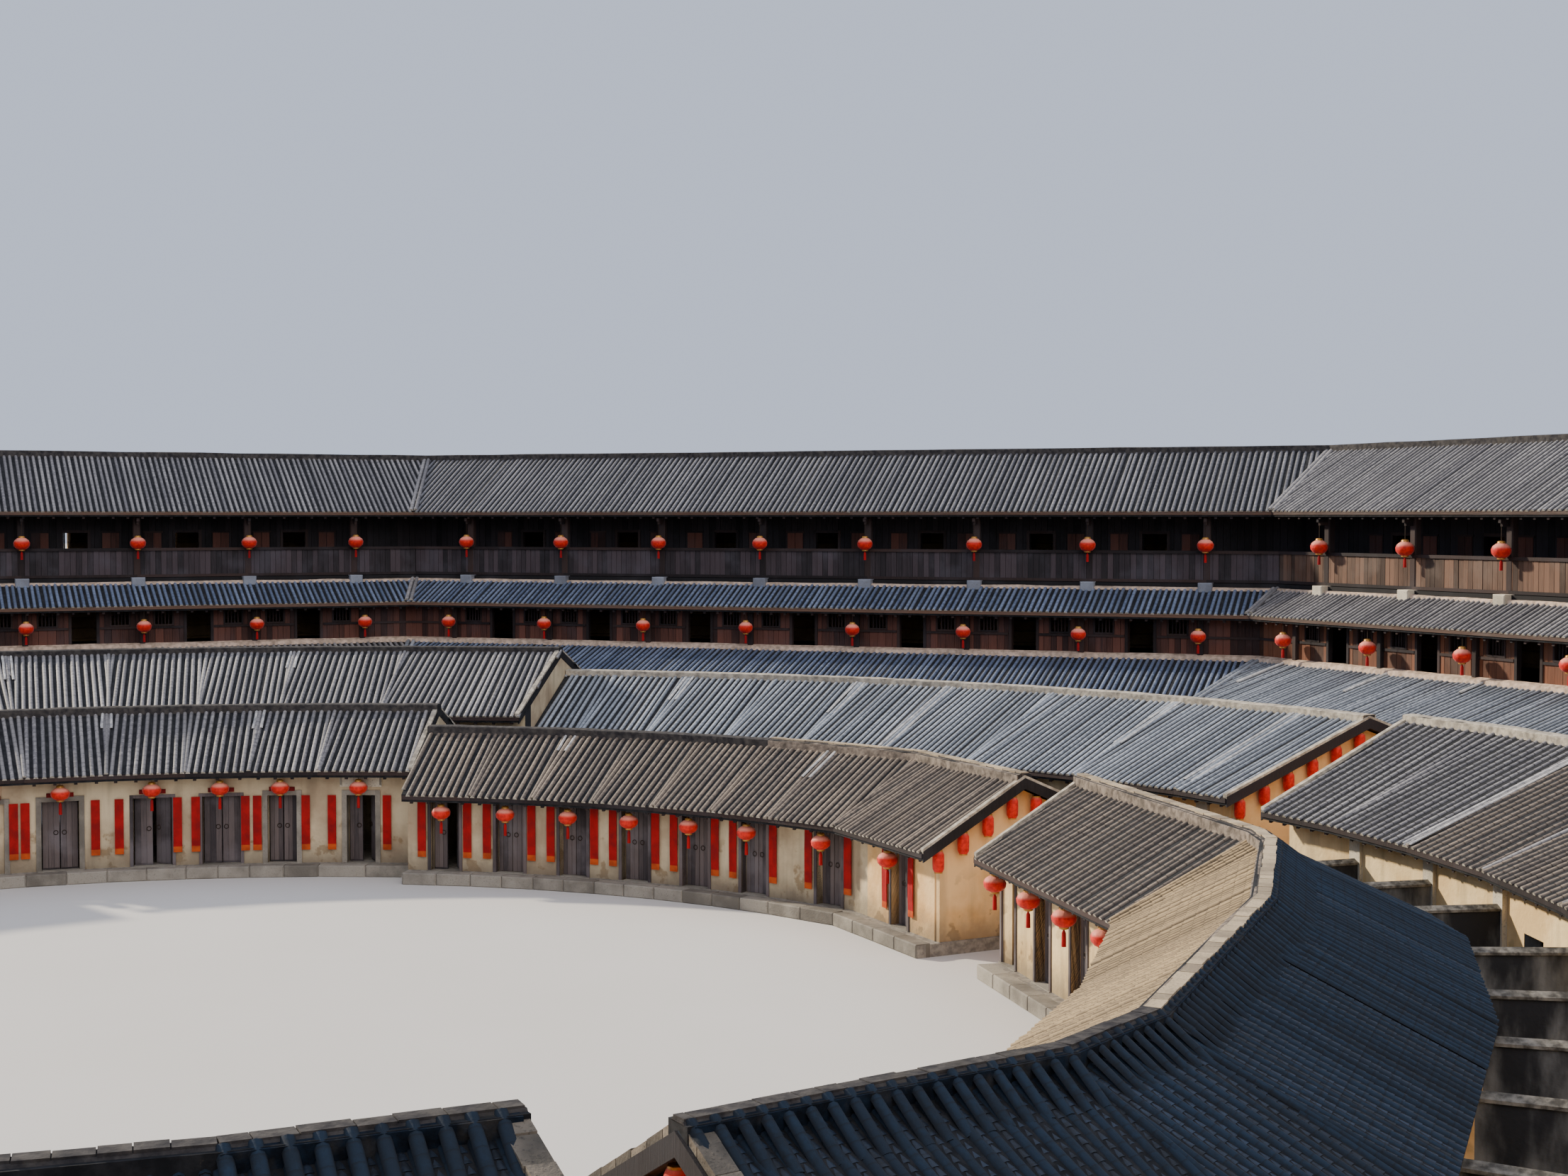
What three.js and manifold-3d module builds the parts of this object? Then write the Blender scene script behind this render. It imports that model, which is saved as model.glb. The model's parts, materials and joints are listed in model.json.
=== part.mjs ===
// An eight-sided tulou: a three-storey earth ring building round two rings of low courtyard houses.
// Sizes below are real metres, and the group at the end scales them to a 1:10 model in millimetres.
// +Z is up, +Y is called north, and the origin is the middle of the courtyard at ground level.

import * as THREE from "three";
import { mergeVertices } from "three/addons/utils/BufferGeometryUtils.js";
import Module from "manifold-3d";

const wasm = await Module();
wasm.setup();

// Scale and fits
const MODEL_MM_PER_METRE = 100;
const SEAT = 0.003; // left where one piece rests on another
const BITE = 0.05; // how far two parts of one solid run into each other
const TUCK = 0.02; // how far an end stays inside the wall that it runs into

// Main building: eight sides, each measured by its apothem from the courtyard's middle
const SIDE_NAMES = ["north", "north_east", "east", "south_east", "south", "south_west", "west", "north_west"];
const GATE_SIDE = "south_east";
const CORNER_TAN = Math.tan(Math.PI / SIDE_NAMES.length);
const CORNER_COS = Math.cos(Math.PI / SIDE_NAMES.length);
const POST_LINE = 40.0;
const SECOND_FRONT = 38.75;
const GALLERY_WALL = 41.3;
const EARTH_INNER = 45.6;
const EARTH_OUTER = 47.1;
const BAY = 4.03;
const REGULAR_BAYS = 7;
const SECOND_FLOOR = 5.3;
const THIRD_FLOOR = 7.92;
const FLOOR_DEPTH = 0.2;
const BOARD_WALL = 0.12;

// Timber storeys
const UPPER_DOOR = { width: 0.86, height: 1.65 };
const UPPER_WINDOW = { width: 0.6, sill: 0.95, height: 0.62, offset: 1.25 };
const POST = { width: 0.24, depth: 0.16 };
const RAIL_HEIGHT = 1.05;
const DECK_LIP = 0.25; // how far the gallery's deck stands out beyond the posts' line

// Outer wall openings
const OUTER_WINDOW = { width: 0.55, sill: 8.75, height: 0.85 };
const GATE = { width: 2.4, height: 3.3 };

// Ground storey front of the main building
const GROUND_FRONT = 38.85;
const MASONRY = 0.3;
const GROUND_DOOR = { width: 1.2, height: 2.3 };

// Roofs, as the line of the upper surface: each point is a distance from the middle and a height
const TILE_BED = 0.2;
const MAIN_ROOF = { inner: [39.39, 10.38], ridge: [43.2, 12.55], outer: [48.0, 9.82] };
const UPPER_SKIRT = { inner: [38.08, 6.96], outer: [39.72, 7.74] };
const LOWER_SKIRT = { inner: [35.1, 4.36], outer: [SECOND_FRONT - SEAT, 5.46] };
const SKIRT_BED = 0.2;
const RIDGE_CAP = { width: 0.4, height: 0.1 };

// Courtyard houses: an inner and a middle ring, cut by four alleys
const ALLEYS = [48, 139, 230, 321];
const ALLEY_HALF = 1.25;
const ALLEY_LENGTH = [10, 37]; // from inside the inner ring to beyond the middle one
const ALLEY_DEPTH = [-1, 9]; // from below the ground to above the roofs
const VERGE = 0.3;
const PLINTH = { height: 0.3, front: 0.6, step: 0.06 };
const HOUSE_WALL = 0.35;
const YARD_WALL = { thickness: 0.26, height: 2.3, gap: 0.006 };
const INNER_RING = {
  front: 20.0,
  back: 24.2,
  eave: 0.6,
  eaveHeight: 2.62,
  ridge: 2.2,
  ridgeHeight: 4.15,
  backHeight: 3.05,
};
const MIDDLE_RING = {
  front: 27.9,
  back: 34.0,
  eave: 0.6,
  eaveHeight: 3.2,
  ridge: 4.1,
  ridgeHeight: 4.95,
  backHeight: 4.05,
};
const INNER_STEP = 104;
const MIDDLE_STEP = 100.5;
const STEP_TIE_HEIGHT = 2;

// Degrees at a section's ends that are kept free of yard walls and of the middle ring's doors
const YARD_WALL_CLEAR = 3;
const MIDDLE_DOOR_CLEAR = 2.5;

// Doors on the courtyard
const HOUSE_DOOR = { width: 0.82, height: 1.95 };
const YARD_DOOR = { width: 0.9, height: 2.0 };
const LEAF = { thickness: 0.06, depth: 0.25, jambGap: 0.03, middleGap: 0.012, floorGap: 0.02, headGap: 0.02 };
const PIVOT = { fromJamb: 0.06, width: 0.05 };

// How far a doorway's cut runs from the outer face of a front or back wall, past both of its faces
const THROUGH_FRONT = [-0.3, 0.6];
const THROUGH_BACK = [-0.6, 0.3];
const NICHE = [-0.3, LEAF.depth];

const spread = (from, to, count) =>
  Array.from({ length: count + 1 }, (_, i) => from + ((to - from) * i) / count);
const middles = (bounds) => bounds.slice(1).map((b, i) => (b + bounds[i]) / 2);

// A ring is made of straight facets. Each faces a bearing, and its shift moves it out from the ring's distance.
const bentRow = (pairs) => pairs.map(([bearing, shift]) => ({ bearing, shift }));
const facing = (bearings) => bentRow(bearings.map((bearing) => [bearing, 0]));
const facetsBetween = (from, walls, to) => facing(middles([from, ...walls, to]));
const LEVEL = { setBack: 0, raise: 0, widen: 0, eaveDrop: 0, backDrop: 0 };

// Each section of the rings has yard walls and doors at these bearings. Each of its two rings has its own
// facets, may be set back, raised or wider, and may have a lower eave towards the courtyard or away from it.
const EVEN_UNIT = 7.2;
function evenSection(name, from, to, units, inner) {
  const start = (from + to - units * EVEN_UNIT) / 2;
  const walls = spread(start, start + units * EVEN_UNIT, units);
  const doors = middles(walls);
  const facets = facing(doors);
  const middle = { ...LEVEL, facets };
  return { name, from, to, walls, doors, inner: { ...LEVEL, ...inner, facets }, middle };
}
const NORTH_EVEN_DOORS = spread(73.625, 100.875, 5);
const NORTH_DOORS = [57.3, 66.4, ...NORTH_EVEN_DOORS];
const NORTH_WALLS = [53, ...middles(NORTH_DOORS)];
const NORTH_WEST_DOORS = [108.5, 114.6, 119.2, 124.3, 131.0, 136.2];
const NORTH_WEST_WALLS = middles(NORTH_WEST_DOORS);
const EAST_DOORS = [327, 334.5, 345, 352.5, 360, 367.5, 375, 385, 391, 397, 403.1];
const EAST_WALLS = [330.75, 340, 348.75, 356.25, 363.75, 371.25, 379.15, 388, 394, 400];
const EAST_BENDS = [
  [324.5, -0.57],
  [343, -0.2],
  [358, -1],
  [366, -0.9],
  [380, -0.3],
  [394.5, -0.75],
];
const SECTIONS = [
  {
    name: "north",
    from: 48,
    to: INNER_STEP,
    walls: NORTH_WALLS,
    doors: NORTH_DOORS,
    inner: {
      ...LEVEL,
      raise: -0.12,
      facets: [...bentRow([[45.5, -1]]), ...facing([68.175, ...NORTH_EVEN_DOORS])],
    },
    middle: { ...LEVEL, facets: facetsBetween(48, NORTH_WALLS, MIDDLE_STEP) },
  },
  {
    name: "north_west",
    from: INNER_STEP,
    to: 139,
    walls: NORTH_WEST_WALLS,
    doors: NORTH_WEST_DOORS,
    widths: [0.82, 0.82, 1.06, 1.06, 1.0, 0.9],
    inner: { ...LEVEL, setBack: 1.1, raise: 0.4, facets: facing(NORTH_WEST_DOORS) },
    middle: {
      ...LEVEL,
      setBack: -0.8,
      raise: 0.8,
      facets: facetsBetween(MIDDLE_STEP, NORTH_WEST_WALLS, 139),
    },
  },
  evenSection("west", 139, 230, 12, {}),
  evenSection("south", 230, 321, 12, { setBack: -0.3, raise: 0.62 }),
  {
    name: "east",
    from: 321,
    to: 408,
    walls: EAST_WALLS,
    doors: EAST_DOORS,
    inner: {
      ...LEVEL,
      setBack: -0.3,
      raise: 0.05,
      widen: 0.8,
      backDrop: 0.5,
      facets: bentRow(EAST_BENDS),
    },
    middle: {
      ...LEVEL,
      setBack: -0.5,
      raise: 0.2,
      eaveDrop: 0.25,
      facets: facetsBetween(321, EAST_WALLS, 408),
    },
  },
];

// The double doors whose leaves swing, by section and number in it, and how far each leaf stands open at rest
const SWINGING_DOORS = [
  { name: "door_1", section: "north_west", door: 4, ajar: { left: 0, right: 0 } },
  { name: "door_2", section: "north_west", door: 3, ajar: { left: 0, right: 35 } },
  { name: "door_3", section: "north_west", door: 2, ajar: { left: 0, right: 0 } },
  { name: "door_4", section: "north_west", door: 1, ajar: { left: 0, right: 0 } },
  { name: "door_5", section: "north_west", door: 0, ajar: { left: 0, right: 62 } },
  { name: "door_6", section: "north", door: 7, ajar: { left: 0, right: 62 } },
];

const rad = THREE.MathUtils.degToRad;

const material = (color, roughness = 0.9) =>
  new THREE.MeshStandardMaterial({ color, roughness, metalness: 0 });
const MATERIALS = {
  earth: material(0xb59a72),
  plaster: material(0xcbb083),
  timber: material(0x4a342a, 0.8),
  tiles: material(0x4a4a4c, 0.85),
  door: material(0x4b4139, 0.75),
};

// Solids

function solidFrom(geometry) {
  const bare = geometry.clone();
  bare.deleteAttribute("normal");
  bare.deleteAttribute("uv");
  const merged = mergeVertices(bare, 1e-6);
  const vertProperties = merged.attributes.position.array;
  const triVerts = Uint32Array.from(merged.index.array);
  const make = () => new wasm.Manifold(new wasm.Mesh({ numProp: 3, vertProperties, triVerts }));
  const solid = make();
  if (solid.volume() > 0) return solid;
  for (let i = 0; i < triVerts.length; i += 3) triVerts.subarray(i + 1, i + 3).reverse();
  return make();
}

const joined = (solids) => solids.reduce((sum, solid) => sum.add(solid));
const cutBy = (solid, tools) => tools.reduce((left, tool) => left.subtract(tool), solid);

function geometryOf(solid) {
  const { vertProperties, triVerts } = solid.getMesh();
  const geometry = new THREE.BufferGeometry();
  geometry.setAttribute("position", new THREE.BufferAttribute(vertProperties, 3));
  geometry.setIndex(new THREE.BufferAttribute(triVerts, 1));
  geometry.computeVertexNormals();
  return geometry;
}

const tulou = new THREE.Group();
function addPiece(name, solid, materialName, turn = 0) {
  const mesh = new THREE.Mesh(geometryOf(solid), MATERIALS[materialName]);
  mesh.name = name;
  mesh.rotation.z = turn;
  tulou.add(mesh);
}

// Outlines

function outline(points) {
  return new THREE.Shape(points.map(([x, y]) => new THREE.Vector2(x, y)));
}

const rectangle = (x0, x1, y0, y1) => [
  [x0, y0],
  [x1, y0],
  [x1, y1],
  [x0, y1],
];

function mapPoints(geometry, place) {
  const p = geometry.attributes.position;
  for (let i = 0; i < p.count; i++) p.setXYZ(i, ...place(p.getX(i), p.getY(i), p.getZ(i)));
  return geometry;
}

// A plate on the north side, drawn in elevation at its inner face. It widens outwards with the corners'
// mitres. A top slope makes its highest edge follow a roof.
function sidePlate(shape, inner, outer, topSlope = 0) {
  const geometry = new THREE.ExtrudeGeometry(shape, { depth: outer - inner, bevelEnabled: false });
  const top = Math.max(...shape.getPoints().map((p) => p.y));
  return solidFrom(
    mapPoints(geometry, (along, up, back) => {
      const apothem = outer - back;
      const rise = up > top - 1e-6 ? (apothem - inner) * topSlope : 0;
      return [(along * apothem) / inner, apothem, up + rise];
    }),
  );
}

const plainSide = (inner, outer, low, high, trim) => {
  const half = inner * CORNER_TAN - trim;
  return sidePlate(outline(rectangle(-half, half, low, high)), inner, outer);
};

// Where two neighbouring facets of a ring meet, at a distance from the middle before their own shifts.
function cornerOf(p, q, distance) {
  const [a, b] = [rad(p.bearing), rad(q.bearing)];
  const [pReach, qReach] = [distance + p.shift, distance + q.shift];
  const turn = Math.sin(b - a);
  return [
    (pReach * Math.sin(b) - qReach * Math.sin(a)) / turn,
    (qReach * Math.cos(a) - pReach * Math.cos(b)) / turn,
  ];
}

function facetAt(facets, bearing, distance) {
  const last = facets.length - 1;
  return facets.find((facet, i) => {
    if (i === last) return true;
    const [x, y] = cornerOf(facet, facets[i + 1], distance);
    const ahead = THREE.MathUtils.radToDeg(Math.atan2(y, x)) - bearing;
    return ((ahead + 540) % 360) - 180 > 0;
  });
}

// How far along a bearing a ring's line lies, on a track that runs beside it at an offset to its left.
function reachAt(facets, bearing, distance, across = 0) {
  const track = bearing + THREE.MathUtils.radToDeg(Math.atan2(across, distance));
  const facet = facetAt(facets, track, distance);
  const tilt = rad(facet.bearing - bearing);
  return (distance + facet.shift - across * Math.sin(tilt)) / Math.cos(tilt);
}

// An outline swept round part of a ring, along its facets.
function ringSweep(points, facets, from, to) {
  const steps = facets.length;
  const geometry = new THREE.ExtrudeGeometry(outline(points), { depth: steps, steps, bevelEnabled: false });
  const endAt = (facet, bearing, distance) => {
    const reach = (distance + facet.shift) / Math.cos(rad(facet.bearing - bearing));
    return [reach * Math.cos(rad(bearing)), reach * Math.sin(rad(bearing))];
  };
  const station = (k, distance) => {
    if (k === 0) return endAt(facets[0], from, distance);
    if (k === steps) return endAt(facets[steps - 1], to, distance);
    return cornerOf(facets[k - 1], facets[k], distance);
  };
  return solidFrom(
    mapPoints(geometry, (distance, up, step) => [...station(steps - Math.round(step), distance), up]),
  );
}

// An outline carried once round all eight sides.
function octagonSweep(points) {
  const closed = [...points, points[0]].map(([apothem, up]) => new THREE.Vector2(apothem / CORNER_COS, up));
  const turn = Math.PI / SIDE_NAMES.length;
  const geometry = new THREE.LatheGeometry(closed, SIDE_NAMES.length, turn).rotateX(Math.PI / 2);
  return solidFrom(geometry);
}

// A straight opening through a wall on the north side.
function wallOpening([left, right], [low, high], [near, far]) {
  const box = new THREE.BoxGeometry(right - left, far - near, high - low);
  return solidFrom(box.translate((left + right) / 2, (near + far) / 2, (low + high) / 2));
}

// A box along a bearing: distance from the middle, offset to the left of the bearing, and height.
function bearingBox(bearing, [near, far], [right, left], [low, high]) {
  const box = new THREE.BoxGeometry(far - near, left - right, high - low);
  box.translate((near + far) / 2, (right + left) / 2, (low + high) / 2);
  return solidFrom(box.rotateZ(rad(bearing)));
}

// An upright plate along a bearing, drawn as distance and height.
function bearingPlate(bearing, points, right, left) {
  const geometry = new THREE.ExtrudeGeometry(outline(points), { depth: left - right, bevelEnabled: false });
  mapPoints(geometry, (distance, up, across) => [distance, left - across, up]);
  return solidFrom(geometry.rotateZ(rad(bearing)));
}

// Roof lines

const lineAt = ([x0, y0], [x1, y1], x) => y0 + ((y1 - y0) * (x - x0)) / (x1 - x0);
const roofTop = ({ inner, ridge, outer }, x) =>
  x < ridge[0] ? lineAt(inner, ridge, x) : lineAt(ridge, outer, x);
const underRoof = (roof, x) => roofTop(roof, x) - TILE_BED - SEAT;
const underSkirt = (skirt, x) => lineAt(skirt.inner, skirt.outer, x) - SKIRT_BED - SEAT;

const slabBelow = ([x, y]) => [x, y - TILE_BED];

function roofOutline(roof) {
  const { inner, ridge, outer } = roof;
  const cap = RIDGE_CAP.width / 2;
  const capTop = ridge[1] + RIDGE_CAP.height;
  return [
    ...[inner, ridge, outer].map(slabBelow),
    outer,
    [ridge[0] + cap, roofTop(roof, ridge[0] + cap)],
    [ridge[0] + cap, capTop],
    [ridge[0] - cap, capTop],
    [ridge[0] - cap, roofTop(roof, ridge[0] - cap)],
    inner,
  ];
}

// One slope of a roof with its half of the ridge cap, towards the middle on side -1 or away from it on side 1.
function slopeOutline(roof, side) {
  const eave = side < 0 ? roof.inner : roof.outer;
  const seam = roof.ridge[0] + (side * SEAT) / 2;
  const cap = roof.ridge[0] + (side * RIDGE_CAP.width) / 2;
  const capTop = roof.ridge[1] + RIDGE_CAP.height;
  return [
    slabBelow(eave),
    slabBelow([seam, roofTop(roof, seam)]),
    [seam, capTop],
    [cap, capTop],
    [cap, roofTop(roof, cap)],
    eave,
  ];
}

const skirtOutline = ({ inner, outer }) => [
  [inner[0], inner[1] - SKIRT_BED],
  [outer[0], outer[1] - SKIRT_BED],
  outer,
  inner,
];

// Main building

const LAST_BAY = (REGULAR_BAYS - 1) / 2;
const bayCentres = spread(-LAST_BAY, LAST_BAY, REGULAR_BAYS - 1).map((i) => i * BAY);
const everyOther = (list) => list.filter((_, i) => i % 2 === 0);
const postPlaces = spread(-REGULAR_BAYS / 2, REGULAR_BAYS / 2, REGULAR_BAYS).map((i) => i * BAY);

// A board wall from a floor to a roof. The doorway in each bay is a notch in its lower edge.
function boardWall(inner, thickness, low, high, windows) {
  const half = inner * CORNER_TAN - SEAT;
  const points = [[-half, low]];
  for (const centre of bayCentres) {
    const left = centre - UPPER_DOOR.width / 2;
    const right = centre + UPPER_DOOR.width / 2;
    const head = low + BITE + UPPER_DOOR.height;
    points.push([left, low], [left, head], [right, head], [right, low]);
  }
  points.push([half, low], [half, high], [-half, high]);
  const plate = sidePlate(outline(points), inner, inner + thickness);
  const through = [inner - BITE, inner + thickness + BITE];
  return cutBy(
    plate,
    windows.map(([acrossRange, heightRange]) => wallOpening(acrossRange, heightRange, through)),
  );
}

// A window on each side of every bay's doorway.
function windowPairs(floor) {
  const { width, sill, height, offset } = UPPER_WINDOW;
  return bayCentres.flatMap((bay) =>
    [bay - offset, bay + offset].map((x) => [
      [x - width / 2, x + width / 2],
      [floor + sill, floor + sill + height],
    ]),
  );
}

function secondStorey() {
  const wallTop = underSkirt(UPPER_SKIRT, SECOND_FRONT);
  const floor = plainSide(SECOND_FRONT, EARTH_INNER - SEAT, SECOND_FLOOR - FLOOR_DEPTH, SECOND_FLOOR, SEAT);
  const wall = boardWall(SECOND_FRONT, BOARD_WALL, SECOND_FLOOR - BITE, wallTop, windowPairs(SECOND_FLOOR));
  return joined([floor, wall]);
}

function thirdStorey() {
  const edge = POST_LINE - DECK_LIP;
  const deck = plainSide(edge, EARTH_INNER - SEAT, THIRD_FLOOR - FLOOR_DEPTH, THIRD_FLOOR, SEAT);
  const wallTop = underRoof(MAIN_ROOF, GALLERY_WALL);
  const wall = boardWall(GALLERY_WALL, BOARD_WALL, THIRD_FLOOR - BITE, wallTop, []);
  return joined([deck, wall, postedRail()]);
}

// The gallery's rail with the posts that rise from it to the roof, as one flat frame.
function postedRail() {
  const inner = POST_LINE - POST.depth / 2;
  const half = inner * CORNER_TAN - SEAT;
  const railTop = THIRD_FLOOR + RAIL_HEIGHT;
  const postTop = underRoof(MAIN_ROOF, inner);
  const points = [[-half, THIRD_FLOOR - BITE], [half, THIRD_FLOOR - BITE], [half, railTop]];
  for (const x of [...postPlaces].reverse()) {
    const right = x + POST.width / 2;
    const left = x - POST.width / 2;
    points.push([right, railTop], [right, postTop], [left, postTop], [left, railTop]);
  }
  points.push([-half, railTop]);
  return sidePlate(outline(points), inner, inner + POST.depth);
}

function outerWall(isGateSide) {
  const half = EARTH_INNER * CORNER_TAN - SEAT;
  const roofSlope = (MAIN_ROOF.outer[1] - MAIN_ROOF.ridge[1]) / (MAIN_ROOF.outer[0] - MAIN_ROOF.ridge[0]);
  const points = [[-half, 0]];
  if (isGateSide) {
    const reach = GATE.width / 2;
    const spring = GATE.height - reach;
    points.push([-reach, 0], [-reach, spring]);
    for (const turn of spread(150, 30, 4)) {
      points.push([reach * Math.cos(rad(turn)), spring + reach * Math.sin(rad(turn))]);
    }
    points.push([reach, spring], [reach, 0]);
  }
  const top = underRoof(MAIN_ROOF, EARTH_INNER);
  points.push([half, 0], [half, top], [-half, top]);
  const wall = sidePlate(outline(points), EARTH_INNER, EARTH_OUTER, roofSlope);
  const { width, sill, height } = OUTER_WINDOW;
  const through = [EARTH_INNER - BITE, EARTH_OUTER + BITE];
  const windows = bayCentres.map((x) =>
    wallOpening([x - width / 2, x + width / 2], [sill, sill + height], through),
  );
  return cutBy(wall, windows);
}

// The ground storey's front: one wall round all eight sides, with a doorway behind every other bay.
function groundFront() {
  const back = GROUND_FRONT + MASONRY;
  const top = SECOND_FLOOR - FLOOR_DEPTH;
  const wall = octagonSweep(rectangle(GROUND_FRONT, back, 0, top));
  const doorways = SIDE_NAMES.flatMap((_, k) =>
    everyOther(bayCentres).map((centre) =>
      bearingBox(
        90 - 45 * k,
        [GROUND_FRONT - BITE, back + BITE],
        [centre - GROUND_DOOR.width / 2, centre + GROUND_DOOR.width / 2],
        [-BITE, GROUND_DOOR.height],
      ),
    ),
  );
  return cutBy(wall, doorways);
}

SIDE_NAMES.forEach((name, k) => {
  const turn = -rad(45 * k);
  addPiece(`outer_wall_${name}`, outerWall(name === GATE_SIDE), "earth", turn);
  addPiece(`second_storey_${name}`, secondStorey(), "timber", turn);
  addPiece(`third_storey_${name}`, thirdStorey(), "timber", turn);
});
addPiece("ground_storey_front", groundFront(), "plaster");
addPiece("main_roof_court_slope", octagonSweep(slopeOutline(MAIN_ROOF, -1)), "tiles");
addPiece("main_roof_outer_slope", octagonSweep(slopeOutline(MAIN_ROOF, 1)), "tiles");
addPiece("upper_skirt_roof", octagonSweep(skirtOutline(UPPER_SKIRT)), "tiles");
addPiece("lower_skirt_roof", octagonSweep(skirtOutline(LOWER_SKIRT)), "tiles");

// Courtyard houses

function ringSizes(ring, { setBack, raise, widen, eaveDrop, backDrop }) {
  const front = ring.front + setBack;
  const back = ring.back + setBack + widen;
  return {
    front,
    back,
    roof: {
      inner: [front - ring.eave, ring.eaveHeight + raise - eaveDrop],
      ridge: [front + ring.ridge, ring.ridgeHeight + raise],
      outer: [back + ring.eave, ring.backHeight + raise - backDrop],
    },
  };
}

const isAlley = (bearing) => ALLEYS.some((alley) => (bearing - alley) % 360 === 0);

// The bearings between which a section's walls and roofs run, just clear of the next section at a step.
function trimmed(from, to) {
  const trim = 0.02;
  return [isAlley(from) ? from : from + trim, isAlley(to) ? to : to - trim];
}

const alleySlots = (half) =>
  ALLEYS.map((alley) => bearingBox(alley, ALLEY_LENGTH, [-half, half], ALLEY_DEPTH));

// A wall swept along a ring, its top following the roof above it.
function ringWall({ roof }, [near, far], low, facets, from, to) {
  const [start, end] = trimmed(from, to);
  const points = [
    [near, low],
    [far, low],
    [far, underRoof(roof, far)],
    [near, underRoof(roof, near)],
  ];
  return ringSweep(points, facets, start, end);
}

// The wall that closes the end of a row of houses, up to the roof. It runs along the bearing of the row's
// end, and the facet beside it may be turned from that bearing.
function gableWall({ front, back, roof }, facet, bearing, side, low) {
  const start = isAlley(bearing) ? ALLEY_HALF : 2 * SEAT;
  const [right, left] = side > 0 ? [start, start + HOUSE_WALL] : [-start - HOUSE_WALL, -start];
  const tilt = rad(facet.bearing - bearing);
  const along = (distance) =>
    [right, left].map((across) => (distance + facet.shift - across * Math.sin(tilt)) / Math.cos(tilt));
  const topAt = (reach) => {
    const distances = [right, left].map((v) => reach * Math.cos(tilt) + v * Math.sin(tilt) - facet.shift);
    return Math.min(...distances.map((distance) => underRoof(roof, distance))) - BITE;
  };
  const near = Math.max(...along(front + TUCK));
  const far = Math.min(...along(back - TUCK));
  const ridge = (along(roof.ridge[0])[0] + along(roof.ridge[0])[1]) / 2;
  const points = [
    [near, low],
    [far, low],
    [far, topAt(far)],
    [ridge, topAt(ridge)],
    [near, topAt(near)],
  ];
  return bearingPlate(bearing, points, right, left);
}

// A doorway or niche square to the facet that it is in: its depth from the wall's face, and its floor.
function doorBox(facets, bearing, distance, [from, to], { width, height }, floor) {
  const { facet, face, across } = doorPlace(facets, bearing, distance);
  const sides = [across - width / 2, across + width / 2];
  return bearingBox(facet.bearing, [face + from, face + to], sides, [floor - 2 * BITE, floor + height]);
}

function doorPlace(facets, bearing, distance) {
  const facet = facetAt(facets, bearing, distance);
  const face = distance + facet.shift;
  return { facet, face, across: face * Math.tan(rad(bearing - facet.bearing)) };
}

// A front house's door, which is wider in the rows that list their own widths.
function houseDoor(section, bearing) {
  const width = section.widths ? section.widths[section.doors.indexOf(bearing)] : HOUSE_DOOR.width;
  return { width, height: HOUSE_DOOR.height };
}

const swingingIn = (section) =>
  SWINGING_DOORS.filter((d) => d.section === section.name).map((d) => section.doors[d.door]);

function innerWalls(section) {
  const { from, to } = section;
  const { facets } = section.inner;
  const sizes = ringSizes(INNER_RING, section.inner);
  const { front, back } = sizes;
  const low = PLINTH.height;
  const frontWall = ringWall(sizes, [front, front + HOUSE_WALL], low - BITE, facets, from, to);
  const backWall = ringWall(sizes, [back - HOUSE_WALL, back], low - BITE, facets, from, to);
  const swinging = swingingIn(section);
  const depthOf = (door) => (swinging.includes(door) ? THROUGH_FRONT : NICHE);
  const cuts = [
    ...section.doors.map((d) => doorBox(facets, d, front, depthOf(d), houseDoor(section, d), low)),
    ...everyOther(section.doors).map((d) => doorBox(facets, d, back, THROUGH_BACK, YARD_DOOR, low)),
    ...alleySlots(ALLEY_HALF + HOUSE_WALL / 2),
  ];
  const gables = [
    gableWall(sizes, facets[0], from, 1, low - BITE),
    gableWall(sizes, facets.at(-1), to, -1, low - BITE),
  ];
  // at a step the later section's floor starts a little earlier, so that the two floors run into each other
  const floorStart = isAlley(from) ? from : from - 0.1;
  const floor = ringSweep(rectangle(front - PLINTH.front, back, 0, low), facets, floorStart, to);
  const plinth = cutBy(floor, alleySlots(ALLEY_HALF - PLINTH.step));
  return joined([plinth, cutBy(joined([frontWall, backWall]), cuts), ...gables, ...yardWalls(section, back)]);
}

// The low walls that part the yards, from the back of the inner ring almost to the front of the middle one.
function yardWalls(section, back) {
  const half = YARD_WALL.thickness / 2;
  const middleFront = ringSizes(MIDDLE_RING, section.middle).front;
  const nearest = (facets, wall, distance) =>
    Math.min(...[-half, half].map((across) => reachAt(facets, wall, distance, across)));
  return section.walls
    .filter((wall) => wall > section.from + YARD_WALL_CLEAR && wall < section.to - YARD_WALL_CLEAR)
    .map((wall) => {
      const near = nearest(section.inner.facets, wall, back) - HOUSE_WALL / 2;
      const far = nearest(section.middle.facets, wall, middleFront) - YARD_WALL.gap;
      return bearingBox(wall, [near, far], [-half, half], [0, YARD_WALL.height]);
    });
}

function sectionRoof({ roof }, facets, from, to) {
  return cutBy(ringSweep(roofOutline(roof), facets, ...trimmed(from, to)), alleySlots(ALLEY_HALF - VERGE));
}

// The middle ring steps at another bearing than the inner one does.
const middleEnd = (bearing) => (bearing === INNER_STEP ? MIDDLE_STEP : bearing);

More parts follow.
